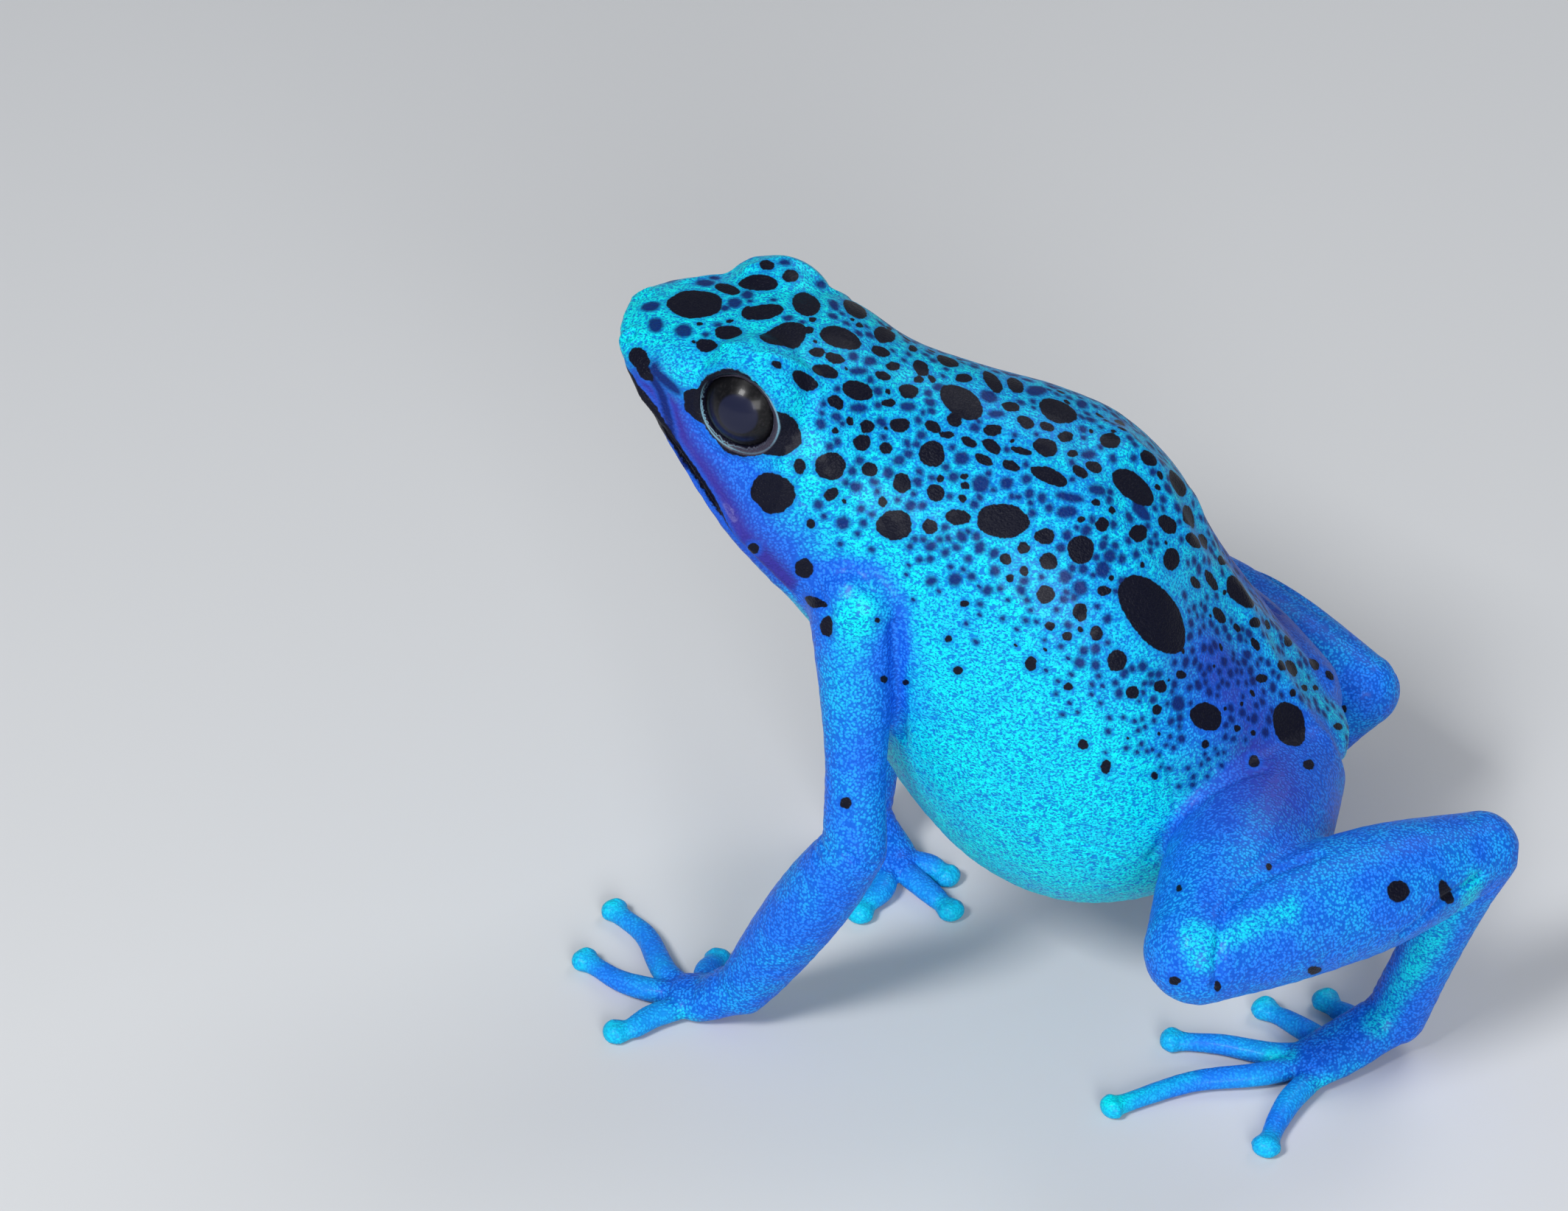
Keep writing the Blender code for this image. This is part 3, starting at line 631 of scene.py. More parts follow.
co = pit(VENT, *VENT_PIT)

# Folds: the skin is gathered where a limb bends, over the hip bones, behind the arm and along
# the flank, and it rises over the brow. The left side's are set where the photograph shows them,
# the right side's match, and those at the joints lie in the plane of each bend.
facing = set_skin()
skin_tree = BVHTree.FromPolygons(
    [Vector(point) for point in co], [tuple(face.vertices) for face in hide.polygons]
)
vertex_tree = KDTree(count)
for i, point in enumerate(co):
    vertex_tree.insert(point, i)
vertex_tree.balance()


class Fold(NamedTuple):
    """A fold through pixels of the photograph, raised or sunk and with a width, in millimetres."""

    pixels: tuple
    rise: float
    width: float


FOLDS = (
    Fold(((985, 470), (1035, 480), (1065, 490), (1090, 500), (1105, 515), (1112, 545)), 0.16, 0.30),
    Fold(((905, 470), (935, 490), (960, 500), (985, 498)), 0.10, 0.35),
    Fold(((1526, 594), (1570, 650), (1611, 731), (1700, 830), (1802, 922)), 0.28, 0.80),
    Fold(((1470, 600), (1530, 690), (1600, 790), (1680, 880)), -0.14, 0.80),
    Fold(((1214, 850), (1218, 920), (1224, 1000)), -0.30, 0.35),
    Fold(((1110, 800), (1128, 828), (1122, 862)), -0.14, 0.28),
    Fold(((1150, 760), (1180, 800), (1215, 830)), -0.10, 0.30),
    Fold(((1250, 770), (1330, 850), (1400, 930), (1480, 1010)), -0.07, 0.50),
    Fold(((1578, 1022), (1590, 1060), (1596, 1096)), -0.10, 0.13),
    Fold(((1636, 1024), (1648, 1046)), -0.10, 0.13),
    Fold(((1552, 1108), (1578, 1132)), -0.09, 0.12),
    Fold(((1452, 1140), (1485, 1150), (1520, 1164)), -0.09, 0.12),
    Fold(
        ((1650, 1340), (1653, 1300), (1658, 1258), (1666, 1230), (1692, 1203), (1735, 1179),
         (1790, 1160)),
        -0.28, 0.28,
    ),
    Fold(((1562, 1165), (1590, 1128), (1625, 1093), (1665, 1064), (1715, 1044)), -0.16, 0.26),
    Fold(((2010, 1190), (1957, 1223), (1904, 1268)), -0.26, 0.20),
    Fold(((1148, 1160), (1166, 1171), (1184, 1177)), -0.20, 0.18),
    Fold(((968, 1318), (975, 1338), (987, 1353)), -0.10, 0.18),
)


def view_ray(across, down):
    """The direction from the camera through a pixel of the photograph."""
    way = view_right * (across - PHOTO_SIZE[0] / 2) + view_up * (PHOTO_SIZE[1] / 2 - down)
    return way / pixels_per_slope - view_back


def seen(across, down):
    """The place on the skin that the camera sees at a pixel, or None."""
    hit = skin_tree.ray_cast(Vector(view_place), Vector(view_ray(across, down)))[0]
    return None if hit is None else np.array(hit)


def line_distance(places):
    """How far each vertex lies from a line through several places."""
    gaps = [run_distance(a, b)[0] for a, b in zip(places, places[1:])]
    return np.min(gaps, axis=0)


for fold in FOLDS:
    places = [place for place in (seen(*pixel) for pixel in fold.pixels) if place is not None]
    for mirror in MIRROR.values():
        on_skin = [np.array(vertex_tree.find(place * mirror)[0]) for place in places]
        if len(on_skin) > 1:
            co += facing * (fold.rise * bell(line_distance(on_skin), fold.width))[:, None]


WRINKLES = (-0.55, 0.0, 0.6)
WRINKLE_WIDTH = 0.12
WRINKLE_DEPTH = 0.09
BEND_REACH = 1.5
BEND_INSIDE = (-0.3, 0.6)
ELBOW_SIZE = 1.9
WRIST_SIZE = 1.3
KNEE_SIZE = 2.6
HEEL_SIZE = 1.9
ANKLE_SIZE = 1.4


def bend_wrinkles(before, joint, after, size):
    """The move of each vertex that gathers the skin into three wrinkles inside a bend."""
    before, joint, after = np.array(before), np.array(joint), np.array(after)
    first = (joint - before) / np.linalg.norm(joint - before)
    second = (after - joint) / np.linalg.norm(after - joint)
    inward = second - first
    inward /= np.linalg.norm(inward)
    along = (first + second) / np.linalg.norm(first + second)
    offset = co - joint
    near = bell(np.linalg.norm(offset, axis=1), size * BEND_REACH)
    near *= smoothstep(*BEND_INSIDE, offset @ inward)
    lines = sum(bell(offset @ along - step, WRINKLE_WIDTH) for step in WRINKLES)
    return facing * (-WRINKLE_DEPTH * lines * near)[:, None]


for arm in ARMS:
    co += bend_wrinkles(arm.shoulder, arm.elbow, arm.wrist, ELBOW_SIZE)
    co += bend_wrinkles(arm.elbow, arm.wrist, arm.palm, WRIST_SIZE)
for leg in LEGS:
    co += bend_wrinkles(leg.hip, leg.knee, leg.heel, KNEE_SIZE)
    co += bend_wrinkles(leg.knee, leg.heel, leg.ankle, HEEL_SIZE)
    co += bend_wrinkles(leg.heel, leg.ankle, leg.sole, ANKLE_SIZE)

# The discs: each finger and toe ends in a round, soft disc with a pair of small scutes on top.
# The scutes are raised in the skin, and the disc is paler than the digit.
SCUTE_OFFSET = 0.30
SCUTE_FORTH = 0.4
SCUTE_RISE = 0.10
SCUTE_WIDTH = 0.24
TOP_FACING = (0.0, 0.3)
DISC_REACH = 1.3
DISC_TINT_REACH = 0.80

on_pad = np.zeros(count)
for place, along in pad_places:
    level = np.array((along[0], along[1], 0.0))
    across = np.array((-along[1], along[0], 0.0))
    offset = co - place
    far = np.linalg.norm(offset, axis=1)
    top = smoothstep(*TOP_FACING, facing[:, 2])
    for side in (-1, 1):
        scute = (across * side + level * SCUTE_FORTH) * SCUTE_OFFSET
        gap = np.linalg.norm((offset - scute)[:, :2], axis=1)
        co[:, 2] += SCUTE_RISE * bell(gap, SCUTE_WIDTH) * top * (far < DISC_REACH)
    on_pad = np.maximum(on_pad, bell(far, DISC_TINT_REACH))

# Fine lumps: the hide is granular, most of all on the belly, the flanks and the legs. These are
# low soft rises in the skin itself, and the granules on them are in its material.
LUMP_PITCH = 0.55
LUMP_RISE = 0.035
LEAST_LUMPY = 0.3
LUMPS_OFF_BACK = (0.9, -0.1)
LUMPS_PAST_DIGIT = (0.2, 1.0)
BACK_WAY = np.array((0.0, 0.55, 0.84))

lumps = np.array([noise.noise(Vector(point) / LUMP_PITCH) for point in co])
backness = softened(facing, CREASE_SPREAD) @ BACK_WAY
lumpy = smoothstep(*LUMPS_OFF_BACK, backness) * smoothstep(*LUMPS_PAST_DIGIT, near_digit)
lumpy = lumpy * (1 - LEAST_LUMPY) + LEAST_LUMPY
co += facing * (lumps * LUMP_RISE * lumpy)[:, None]

# The finished skin stays inside the box of the solids.
for axis, (low, high) in enumerate(zip(*cad_box)):
    co[:, axis] = np.clip(co[:, axis], low / MM + SHIFT[axis], high / MM + SHIFT[axis])
facing = set_skin()

# The markings: black spots and dots on the back, sides and head. The spots that the photograph
# shows are set where they are there, each row with its middle, half its length and half its
# width in pixels, and its lean in degrees. The far side has its own, laid out alike.
CRISP_SPOTS = (
    (943, 412, 38, 19, 3), (959, 469, 15, 9, 5), (989, 452, 19, 10, 0), (987, 392, 17, 7, 15),
    (1028, 384, 26, 12, 0), (1041, 360, 10, 7, 10), (1073, 374, 11, 9, 0), (1094, 412, 20, 15, 25),
    (1161, 418, 19, 10, 40), (1036, 423, 28, 10, -8), (1016, 425, 10, 9, 0),
    (1063, 458, 31, 17, -10),
    (1097, 448, 8, 5, 0), (1141, 458, 29, 14, 18), (1201, 454, 16, 10, 20), (1109, 478, 11, 7, 0),
    (1133, 486, 14, 7, 15), (1054, 495, 8, 5, 25), (1090, 517, 17, 10, 45), (1120, 504, 18, 9, 15),
    (1195, 477, 13, 7, 20), (1212, 497, 10, 6, 0), (1198, 510, 11, 6, 20), (1164, 530, 22, 13, 15),
    (1134, 546, 12, 9, 35), (1206, 547, 9, 6, 0), (1233, 531, 14, 10, 10), (1239, 473, 7, 5, 0),
    (1250, 499, 13, 9, 40), (1247, 515, 7, 5, 0), (1286, 490, 16, 6, 20), (1308, 513, 12, 6, 0),
    (1347, 517, 18, 9, 50), (1378, 522, 14, 9, 45), (1305, 545, 33, 19, 35), (1372, 552, 12, 7, 10),
    (1436, 557, 28, 15, 20), (1392, 573, 12, 8, 30), (1421, 579, 11, 6, 20), (1295, 570, 11, 9, 35),
    (1266, 579, 12, 7, 30), (1285, 590, 10, 5, 0), (1221, 577, 14, 10, 0), (1177, 579, 10, 9, 0),
    (1170, 601, 12, 11, 0), (1202, 608, 9, 8, 0), (1347, 584, 13, 8, 0), (1315, 600, 12, 6, 30),
    (1346, 606, 15, 8, 35), (1386, 612, 15, 5, 15), (1419, 607, 18, 12, 20), (1265, 616, 18, 18, 0),
    (1335, 624, 13, 7, 25), (1372, 632, 13, 7, 25), (1424, 646, 26, 11, 22), (1447, 592, 11, 7, 0),
    (1506, 600, 14, 11, 15), (1521, 572, 9, 6, 0), (1456, 615, 8, 5, 0), (1466, 640, 12, 7, 35),
    (1486, 632, 12, 7, 30), (1551, 627, 14, 8, 40), (1540, 661, 35, 16, 40), (1496, 712, 9, 10, 0),
    (1547, 723, 12, 12, 0), (1592, 658, 20, 9, 62), (1614, 663, 15, 6, 65), (1610, 703, 17, 8, 60),
    (1584, 712, 15, 10, 45), (1614, 735, 13, 7, 50), (1629, 737, 12, 8, 50), (1592, 759, 12, 15, 0),
    (1127, 633, 21, 19, 0), (1085, 633, 8, 11, 0), (1180, 637, 11, 10, 0), (1224, 656, 12, 14, 0),
    (1128, 671, 8, 11, 50), (1270, 669, 12, 12, 0), (1100, 711, 6, 7, 0), (1214, 713, 24, 21, 0),
    (1262, 715, 10, 11, 0), (1300, 702, 17, 11, 5), (1361, 707, 35, 24, 8), (1418, 728, 14, 11, 0),
    (1389, 744, 9, 8, 0), (1365, 759, 8, 8, 0), (1423, 762, 12, 12, 0), (1390, 775, 6, 7, 0),
    (1371, 785, 6, 6, 0), (1467, 746, 19, 19, 0), (1498, 802, 10, 7, 0), (1419, 807, 12, 13, 0),
    (1466, 831, 10, 13, 0), (1488, 860, 9, 10, 0), (1448, 864, 7, 6, 0), (1425, 850, 7, 6, 0),
    (1516, 897, 13, 15, 0), (1399, 901, 8, 10, 0), (1300, 910, 7, 6, 0), (1575, 932, 9, 9, 0),
    (1537, 940, 9, 9, 0), (1450, 932, 6, 6, 0), (1309, 820, 6, 5, 0), (1191, 842, 4, 4, 0),
    (1227, 928, 5, 4, 0), (1287, 867, 5, 5, 0), (1569, 835, 62, 33, 50), (1623, 791, 10, 5, 55),
    (1641, 788, 16, 6, 60), (1651, 765, 9, 7, 0), (1674, 807, 28, 12, 50), (1656, 835, 13, 7, 55),
    (1697, 847, 8, 7, 0), (1714, 850, 5, 8, 0), (1730, 849, 5, 5, 0), (1742, 873, 8, 9, 0),
    (1702, 875, 10, 5, 60), (1751, 908, 12, 7, 60), (1734, 906, 8, 5, 60), (1777, 905, 10, 5, 55),
    (1799, 919, 8, 5, 55), (1712, 921, 8, 6, 0), (1570, 963, 7, 7, 0), (1603, 916, 7, 6, 0),
    (1637, 973, 23, 18, 25), (1748, 983, 30, 21, 85), (1750, 942, 5, 5, 0), (1770, 934, 6, 5, 0),
    (1785, 934, 6, 4, 0), (1824, 963, 4, 6, 0), (1816, 986, 8, 5, 0), (1679, 989, 5, 5, 0),
    (1702, 1034, 8, 8, 0), (1776, 1038, 8, 7, 0), (1470, 1011, 7, 8, 0), (1501, 1041, 7, 10, 0),
    (1567, 1053, 5, 6, 0), (1047, 669, 29, 25, 60), (1091, 772, 13, 13, 0), (1022, 745, 8, 8, 0),
    (1102, 817, 16, 7, 20), (1121, 852, 10, 13, 0), (1148, 1090, 8, 8, 0), (1200, 922, 5, 5, 0),
    (1898, 1210, 15, 15, 0), (1964, 1215, 10, 8, -20), (1784, 1318, 10, 6, 0),
    (1652, 1340, 5, 8, 0),
    (1594, 1332, 8, 6, 0), (1722, 1176, 4, 5, 0), (1600, 1206, 4, 6, 0), (872, 490, 10, 10, 0),
    (866, 486, 16, 12, 60), (873, 503, 15, 8, 62),
)
SOFT_SPOTS = (
    (883, 416, 12, 6, -10), (890, 441, 9, 9, 0), (928, 449, 11, 8, 0), (957, 384, 11, 4, 0),
    (1065, 357, 7, 3, 0), (1132, 414, 8, 5, 60), (1113, 387, 6, 5, 0), (997, 411, 9, 6, 0),
    (1014, 400, 7, 5, 0), (1181, 490, 8, 5, 0), (1165, 504, 11, 4, 0), (1165, 554, 11, 5, 0),
    (1232, 552, 10, 5, 0), (1342, 538, 11, 7, 20), (1352, 562, 10, 4, 0), (1407, 530, 13, 6, 0),
    (1469, 547, 7, 6, 0), (1305, 622, 9, 8, 0), (1479, 615, 9, 5, 0), (1490, 665, 11, 6, 15),
    (1452, 675, 18, 5, 10), (1448, 695, 13, 7, 0), (1550, 693, 16, 7, 50), (1331, 657, 11, 11, 0),
    (1366, 656, 8, 7, 0), (1144, 710, 8, 8, 0), (1350, 775, 6, 6, 0), (1506, 755, 8, 8, 0),
    (1497, 773, 9, 10, 0), (1446, 783, 8, 8, 0), (1466, 798, 9, 9, 0), (1465, 900, 7, 6, 0),
    (1296, 787, 8, 8, 0), (1599, 955, 8, 10, 0), (902, 516, 27, 5, 42),
)
PATTERN_SEED = 7
PIXELS_PER_MM = 27.0
LONGEST_STRETCH = 1.7
LOOK_STEP = 0.05
SPOT_REACH = 1.3
LEAST_SHARE = 0.05
EDGE_WAVES = ((2, 0.05), (3, 0.05), (5, 0.03))
MIDLINE_CLEAR = 1.0
FAR_SPOT_SHIFT = 0.35
FAR_SPOT_SCALE = (0.9, 1.2)
FAR_SPOT_CLEAR = 0.6
OUT_OF_SIGHT = 0.6

random = np.random.RandomState(PATTERN_SEED)
crisp_field = np.maximum(eye_mask, -FIELD_REACH)
soft_field = np.full(count, -FIELD_REACH)
spot_places = []
spot_sizes = []


def stain(field, place, out, shape, size):
    """Set a field's height in an oval with an uneven edge: 0 at the edge, in millimetres inside it.

    shape turns an offset from its middle into shares of its two radii.
    """
    near = vertex_tree.find_range(place, size * SPOT_REACH + FIELD_REACH)
    index = np.array([found[1] for found in near], int)
    if len(index) == 0:
        return
    index = index[facing[index] @ out > 0.0]
    offset = (co[index] - place) @ shape.T
    radius = np.maximum(np.hypot(offset[:, 0], offset[:, 1]), LEAST_SHARE)
    angle = np.arctan2(offset[:, 1], offset[:, 0])
    wobble = np.zeros(len(index))
    for waves, swing in EDGE_WAVES:
        wobble += random.uniform(-swing, swing) * np.cos(waves * angle + random.uniform(0, 2 * pi))
    slope = np.linalg.norm((offset / radius[:, None]) @ shape, axis=1)
    field[index] = np.maximum(field[index], (1 + wobble - radius) / np.maximum(slope, 1e-6))
    spot_places.append(place)
    spot_sizes.append(size)


def skin_frame(out, way):
    """Two directions along the skin: the one nearest to a given way, and the one across it."""
    along = way - (way @ out) * out
    along /= np.linalg.norm(along)
    return np.array((along, np.cross(out, along)))


def oval(out, way, length, width):
    """The shape of an oval on the skin, with its length along a given way."""
    return np.diag((1 / length, 1 / width)) @ skin_frame(out, way)


def into_view(points):
    """Where points in millimetres fall in the photograph, in its pixels."""
    away = np.asarray(points, float) - view_place
    depth = -(away @ view_back)
    across = PHOTO_SIZE[0] / 2 + pixels_per_slope * (away @ view_right) / depth
    down = PHOTO_SIZE[1] / 2 - pixels_per_slope * (away @ view_up) / depth
    return np.stack((across, down), axis=-1)


def seen_oval(place, out, length, width, lean):
    """The shape and size of an oval on the skin that looks as it does in the photograph."""
    ways = skin_frame(out, view_right)
    here = into_view(place)
    grow = np.column_stack(
        [(into_view(place + LOOK_STEP * way) - here) / LOOK_STEP for way in ways]
    )
    lean = radians(lean)
    turned = np.array(((np.cos(lean), np.sin(lean)), (-np.sin(lean), np.cos(lean))))
    shape = np.diag((1 / length, 1 / width)) @ turned @ grow @ ways
    left, values, right = np.linalg.svd(shape, full_matrices=False)
    values = np.maximum(values, PIXELS_PER_MM / (length * LONGEST_STRETCH))
    return left @ np.diag(values) @ right, 1 / values[-1]


far_side = []
for rows, field in ((CRISP_SPOTS, crisp_field), (SOFT_SPOTS, soft_field)):
    for across, down, length, width, lean in rows:
        place = seen(across, down)
        if place is None:
            continue
        out = facing[vertex_tree.find(place)[1]]
        shape, size = seen_oval(place, out, length, width, lean)
        stain(field, place, out, shape, size)
        if place[0] > MIDLINE_CLEAR and on_limb[vertex_tree.find(place)[1]] < 0.5:
            far_side.append((field, place * MIRROR["right"], shape * MIRROR["right"], size))

for field, place, shape, size in far_side:
    place = place + random.normal(0, FAR_SPOT_SHIFT, 3)
    place, index, _ = vertex_tree.find(place)
    place = np.array(place)
    sight = Vector(place - view_place)
    hit = skin_tree.ray_cast(Vector(view_place), sight.normalized())[0]
    hidden = hit is None or (hit - Vector(place)).length > OUT_OF_SIGHT
    gaps = [np.linalg.norm(place - other) - a for other, a in zip(spot_places, spot_sizes)]
    if hidden and min(gaps) > size * FAR_SPOT_CLEAR:
        stain(field, place, facing[index], shape * random.uniform(*FAR_SPOT_SCALE), size)

# Between the spots, small dots fill the back and the head closely, and thin out down the flanks
# past the lower edge of the net, which is given in pixels of the photograph. They are rare on the
# limbs, and each keeps clear of what is there already.
DOT_TRIES = 20000
DOT_RADIUS = (0.09, 0.21)
DOT_STRETCH = (1.0, 1.4)
DOT_CLEAR = 0.11
FLANK_CLEAR = 1.6
CLOSE_SLOPE = 3.0
CLOSE_START = 0.6
LIMB_CLEAR = 1.4
SPOT_SHARE = 0.85
CRISP_SHARE = 0.20
LOW_DOT = 0.1
LOW_DOT_SIZE = 0.5
FACE_END = -3.0
CHEEK_END = 3.5
CHEEK_TOP = 35.3
DIGIT_CLEAR = 0.5
EYE_CLEAR = 3.6
FLOOR_CLEAR = 1.5
ON_BODY = (0.5, 0.2)
ON_BACK = (-0.15, 0.55)
NET_FADE = 130.0
NET_WAVER = 0.1
NET_EDGE = (
    (1090, 700), (1175, 725), (1250, 755), (1348, 785), (1423, 835), (1460, 880), (1520, 925),
    (1590, 960), (1660, 995), (1760, 1030),
)

body_part = smoothstep(*ON_BODY, on_limb)
closeness = smoothstep(*ON_BACK, backness) * body_part
placed = np.array(spot_places)
placed_sizes = np.array(spot_sizes)
eye_gap = np.min([np.linalg.norm(co - EYE_CENTRE * m, axis=1) for m in MIRROR.values()], axis=0)
for index in random.randint(0, count, DOT_TRIES):
    size = random.uniform(*DOT_RADIUS)
    clear = DOT_CLEAR + FLANK_CLEAR * (1 - closeness[index]) ** 2
    clear += LIMB_CLEAR * (1 - body_part[index])
    across, down = into_view(co[index] * (np.sign(co[index, 0]), 1, 1))
    edge = np.interp(across, *zip(*NET_EDGE))
    below = (down - edge) / NET_FADE + random.normal(0, NET_WAVER)
    thinned = CLOSE_SLOPE * closeness[index] - CLOSE_START
    if below > random.uniform() or random.uniform() > thinned:
        continue
    if below > LOW_DOT:
        size *= LOW_DOT_SIZE
    on_cheek = co[index, 1] < CHEEK_END and co[index, 2] < CHEEK_TOP
    if co[index, 1] < FACE_END or on_cheek or co[index, 2] < FLOOR_CLEAR:
        continue
    if near_digit[index] < DIGIT_CLEAR or eye_gap[index] < EYE_CLEAR:
        continue
    gaps = np.linalg.norm(placed - co[index], axis=1) - placed_sizes * SPOT_SHARE - size
    if gaps.min() < clear:
        continue
    out = facing[index]
    shape = oval(out, random.normal(0, 1, 3), size * random.uniform(*DOT_STRETCH), size)
    field = crisp_field if random.uniform() < CRISP_SHARE * backness[index] else soft_field
    stain(field, co[index], out, shape, size)
    placed = np.vstack((placed, co[index]))
    placed_sizes = np.append(placed_sizes, size)

# The blues: sky blue over the body, and a deeper azure on the limbs, the cheeks and the rump, with
# sky blue painted along the tops of the limbs as a highlight, and on the discs as their own paler
# colour. The flank behind the upper arm is darkened as painted shade of the arm. The lips and the
# rump turn towards purple, and the lower edge of the jaw partly as painted shade.
class Wash(NamedTuple):
    """A change of tint round a pixel of the photograph, over a reach in millimetres."""

    across: float
    down: float
    reach: float
    change: float


SKY_WASHES = (
    Wash(900, 440, 3.0, 0.25), Wash(1050, 430, 3.0, 0.2), Wash(1190, 530, 3.5, 0.15),
    Wash(930, 545, 2.0, -0.5), Wash(950, 620, 2.2, -0.7), Wash(1000, 680, 2.4, -0.7),
    Wash(1050, 740, 2.4, -0.7), Wash(1090, 800, 2.2, -0.6), Wash(1020, 630, 1.6, -0.3),
    # The first two washes here darken the flank behind the upper arm: painted shade of the arm.
    Wash(1222, 880, 1.4, -0.6), Wash(1228, 950, 1.2, -0.5), Wash(1640, 900, 2.2, -0.6),
    Wash(1690, 950, 2.4, -0.7), Wash(1740, 1000, 2.4, -0.6), Wash(1620, 1000, 1.4, -0.4),
    Wash(1440, 880, 3.4, -0.16), Wash(1270, 800, 2.4, -0.14), Wash(1590, 990, 2.0, -0.20),
    Wash(1155, 850, 1.6, 0.9), Wash(1170, 820, 1.2, 0.5), Wash(1135, 930, 1.4, 0.3),
)
PURPLE_WASHES = (
    Wash(882, 516, 0.9, 1.0), Wash(905, 548, 1.0, 0.9), Wash(905, 585, 0.8, 0.7),
    # These three darken the lower edge of the jaw: partly its own purple, partly painted shade on
    # the lip's lower side.
    Wash(950, 650, 2.2, 0.28), Wash(1010, 720, 2.2, 0.28), Wash(1055, 780, 1.8, 0.30),
    Wash(1660, 905, 1.9, 0.8), Wash(1700, 990, 2.0, 0.7), Wash(1730, 1060, 2.4, 0.7),
    Wash(1600, 900, 1.2, 0.4), Wash(1790, 1010, 1.8, 0.3), Wash(1660, 1110, 2.0, 0.25),
    Wash(1620, 1060, 1.6, 0.25), Wash(1790, 1290, 1.4, 0.12), Wash(1745, 1110, 1.8, 0.3),
)

BODY_SKY = 0.95
BACK_SHADE = 0.25
SHADED_BACK = (0.3, 0.8)
LIMB_SKY = 0.10

sky = (BODY_SKY - BACK_SHADE * smoothstep(*SHADED_BACK, backness)) * (1 - on_limb)
sky += LIMB_SKY * on_limb
purple = np.zeros(count)
for washes, tint in ((SKY_WASHES, sky), (PURPLE_WASHES, purple)):
    for wash in washes:
        place = seen(wash.across, wash.down)
        if place is None:
            continue
        for mirror in MIRROR.values():
            tint += wash.change * bell(np.linalg.norm(co - place * mirror, axis=1), wash.reach)


class HighlightStripe(NamedTuple):
    """A painted highlight: a pale streak through pixels of the photograph, and half its width in
    millimetres.
    """

    pixels: tuple
    half_width: float
    change: float


# Painted highlights along the tops of the near leg: the knee, the shank, the tarsus and the foot.
HIGHLIGHT_STRIPES = (
    HighlightStripe(((1622, 1270), (1632, 1298)), 0.70, 0.62),
    HighlightStripe(((1662, 1275), (1710, 1250), (1750, 1234)), 0.42, 0.52),
    HighlightStripe(((2000, 1198), (1935, 1287), (1868, 1388)), 0.58, 0.66),
    HighlightStripe(((1724, 1436), (1752, 1434)), 0.26, 0.60),
)
HIGHLIGHT_EDGE = (0.55, -0.35)
KNEE_HIGHLIGHT = ((-1.7, -0.8, 1.6), 1.2, 0.6)
HEEL_HIGHLIGHT = ((-1.5, -0.5, 0.4), 0.75, 0.75)
TOE_HIGHLIGHT = ((0, 0, 0.9), 0.4, 0.35)
LONG_TOE = 3
ON_DIGIT = (0.5, 0.1)
DIGIT_PLAIN = 0.5
DIGIT_SKY = 0.10
DISC_SKY = 0.72

# Lay the painted highlights of the near leg into the sky blue.
for highlight in HIGHLIGHT_STRIPES:
    edge = line_distance([seen(*pixel) for pixel in highlight.pixels]) - highlight.half_width
    sky += highlight.change * smoothstep(*HIGHLIGHT_EDGE, edge)


def highlight_streak(start, end, offset, reach, change):
    """A painted highlight: a streak of sky blue along a limb, set off to one side, with its reach
    and strength.
    """
    start, end = np.add(start, offset), np.add(end, offset)
    return change * bell(run_distance(start, end)[0], reach)


# Painted highlights on the far knee, heel and tarsus, and along the long toe of each foot.
far_leg = LEGS[1]
sky += highlight_streak(far_leg.knee, far_leg.knee, *KNEE_HIGHLIGHT)
sky += highlight_streak(far_leg.heel, far_leg.ankle, *HEEL_HIGHLIGHT)
for leg in LEGS:
    sky += highlight_streak((*leg.bends[LONG_TOE], 0), (*leg.tips[LONG_TOE], 0), *TOE_HIGHLIGHT)
on_digit = smoothstep(*ON_DIGIT, near_digit)
plain = np.maximum(on_pad, DIGIT_PLAIN * on_digit)
sky += DISC_SKY * on_pad + DIGIT_SKY * on_digit

# The dark of the lips and lore: a black line follows the mouth inside a purple band, widest under
# the snout, and a soft dark streak runs down the lore between the nostril and the eye. The purple
# band is partly the lips' own colour and partly painted shade on the lower side of the lip.
PAST_SNOUT = (-0.2, 1.2)
LIP_BAND_OUT = 0.55
LIP_BAND_WIDTH = 0.75
LIP_PURPLE = 0.95
LIP_SHADE = 0.9
LIP_BLACK = 0.22
LIP_BLACK_END = (13.0, 7.0)
SNOUT_BLACK = 0.30
SNOUT_BLACK_END = (5.0, 2.0)
LIP_MIDDLE = 0.10
LORE = ((880, 502), (896, 530), (905, 560), (914, 596), (930, 632))
LORE_HALF_WIDTH = 0.16

past_snout = smoothstep(*PAST_SNOUT, along_mouth)
lip_band = bell(off_mouth - LIP_BAND_OUT, LIP_BAND_WIDTH) * lips * past_snout
# The purple band: partly the lips' own colour, partly painted shade under the lip.
purple += LIP_PURPLE * lip_band
sky -= LIP_SHADE * lip_band
lip_height = LIP_BLACK * past_snout * smoothstep(*LIP_BLACK_END, along_mouth)
lip_height += SNOUT_BLACK * smoothstep(*SNOUT_BLACK_END, along_mouth) * past_snout
lip_height -= np.abs(off_mouth - LIP_MIDDLE) + 2 * (1 - lips)
crisp_field = np.maximum(crisp_field, lip_height)
lore = np.array([seen(*pixel) for pixel in LORE])
for mirror in MIRROR.values():
    soft_field = np.maximum(soft_field, LORE_HALF_WIDTH - line_distance(lore * mirror))

fields = {
    "crisp": crisp_field,
    "soft": soft_field,
    "sky": sky,
    "purple": purple,
    "lid_band": lid_band,
    "lid_line": lid_line,
    "lid_share": lid_share,
    "plain": plain,
}
for name, values in fields.items():
    hide.attributes.new(name, "FLOAT", "POINT").data.foreach_set("value", values.astype(np.float32))
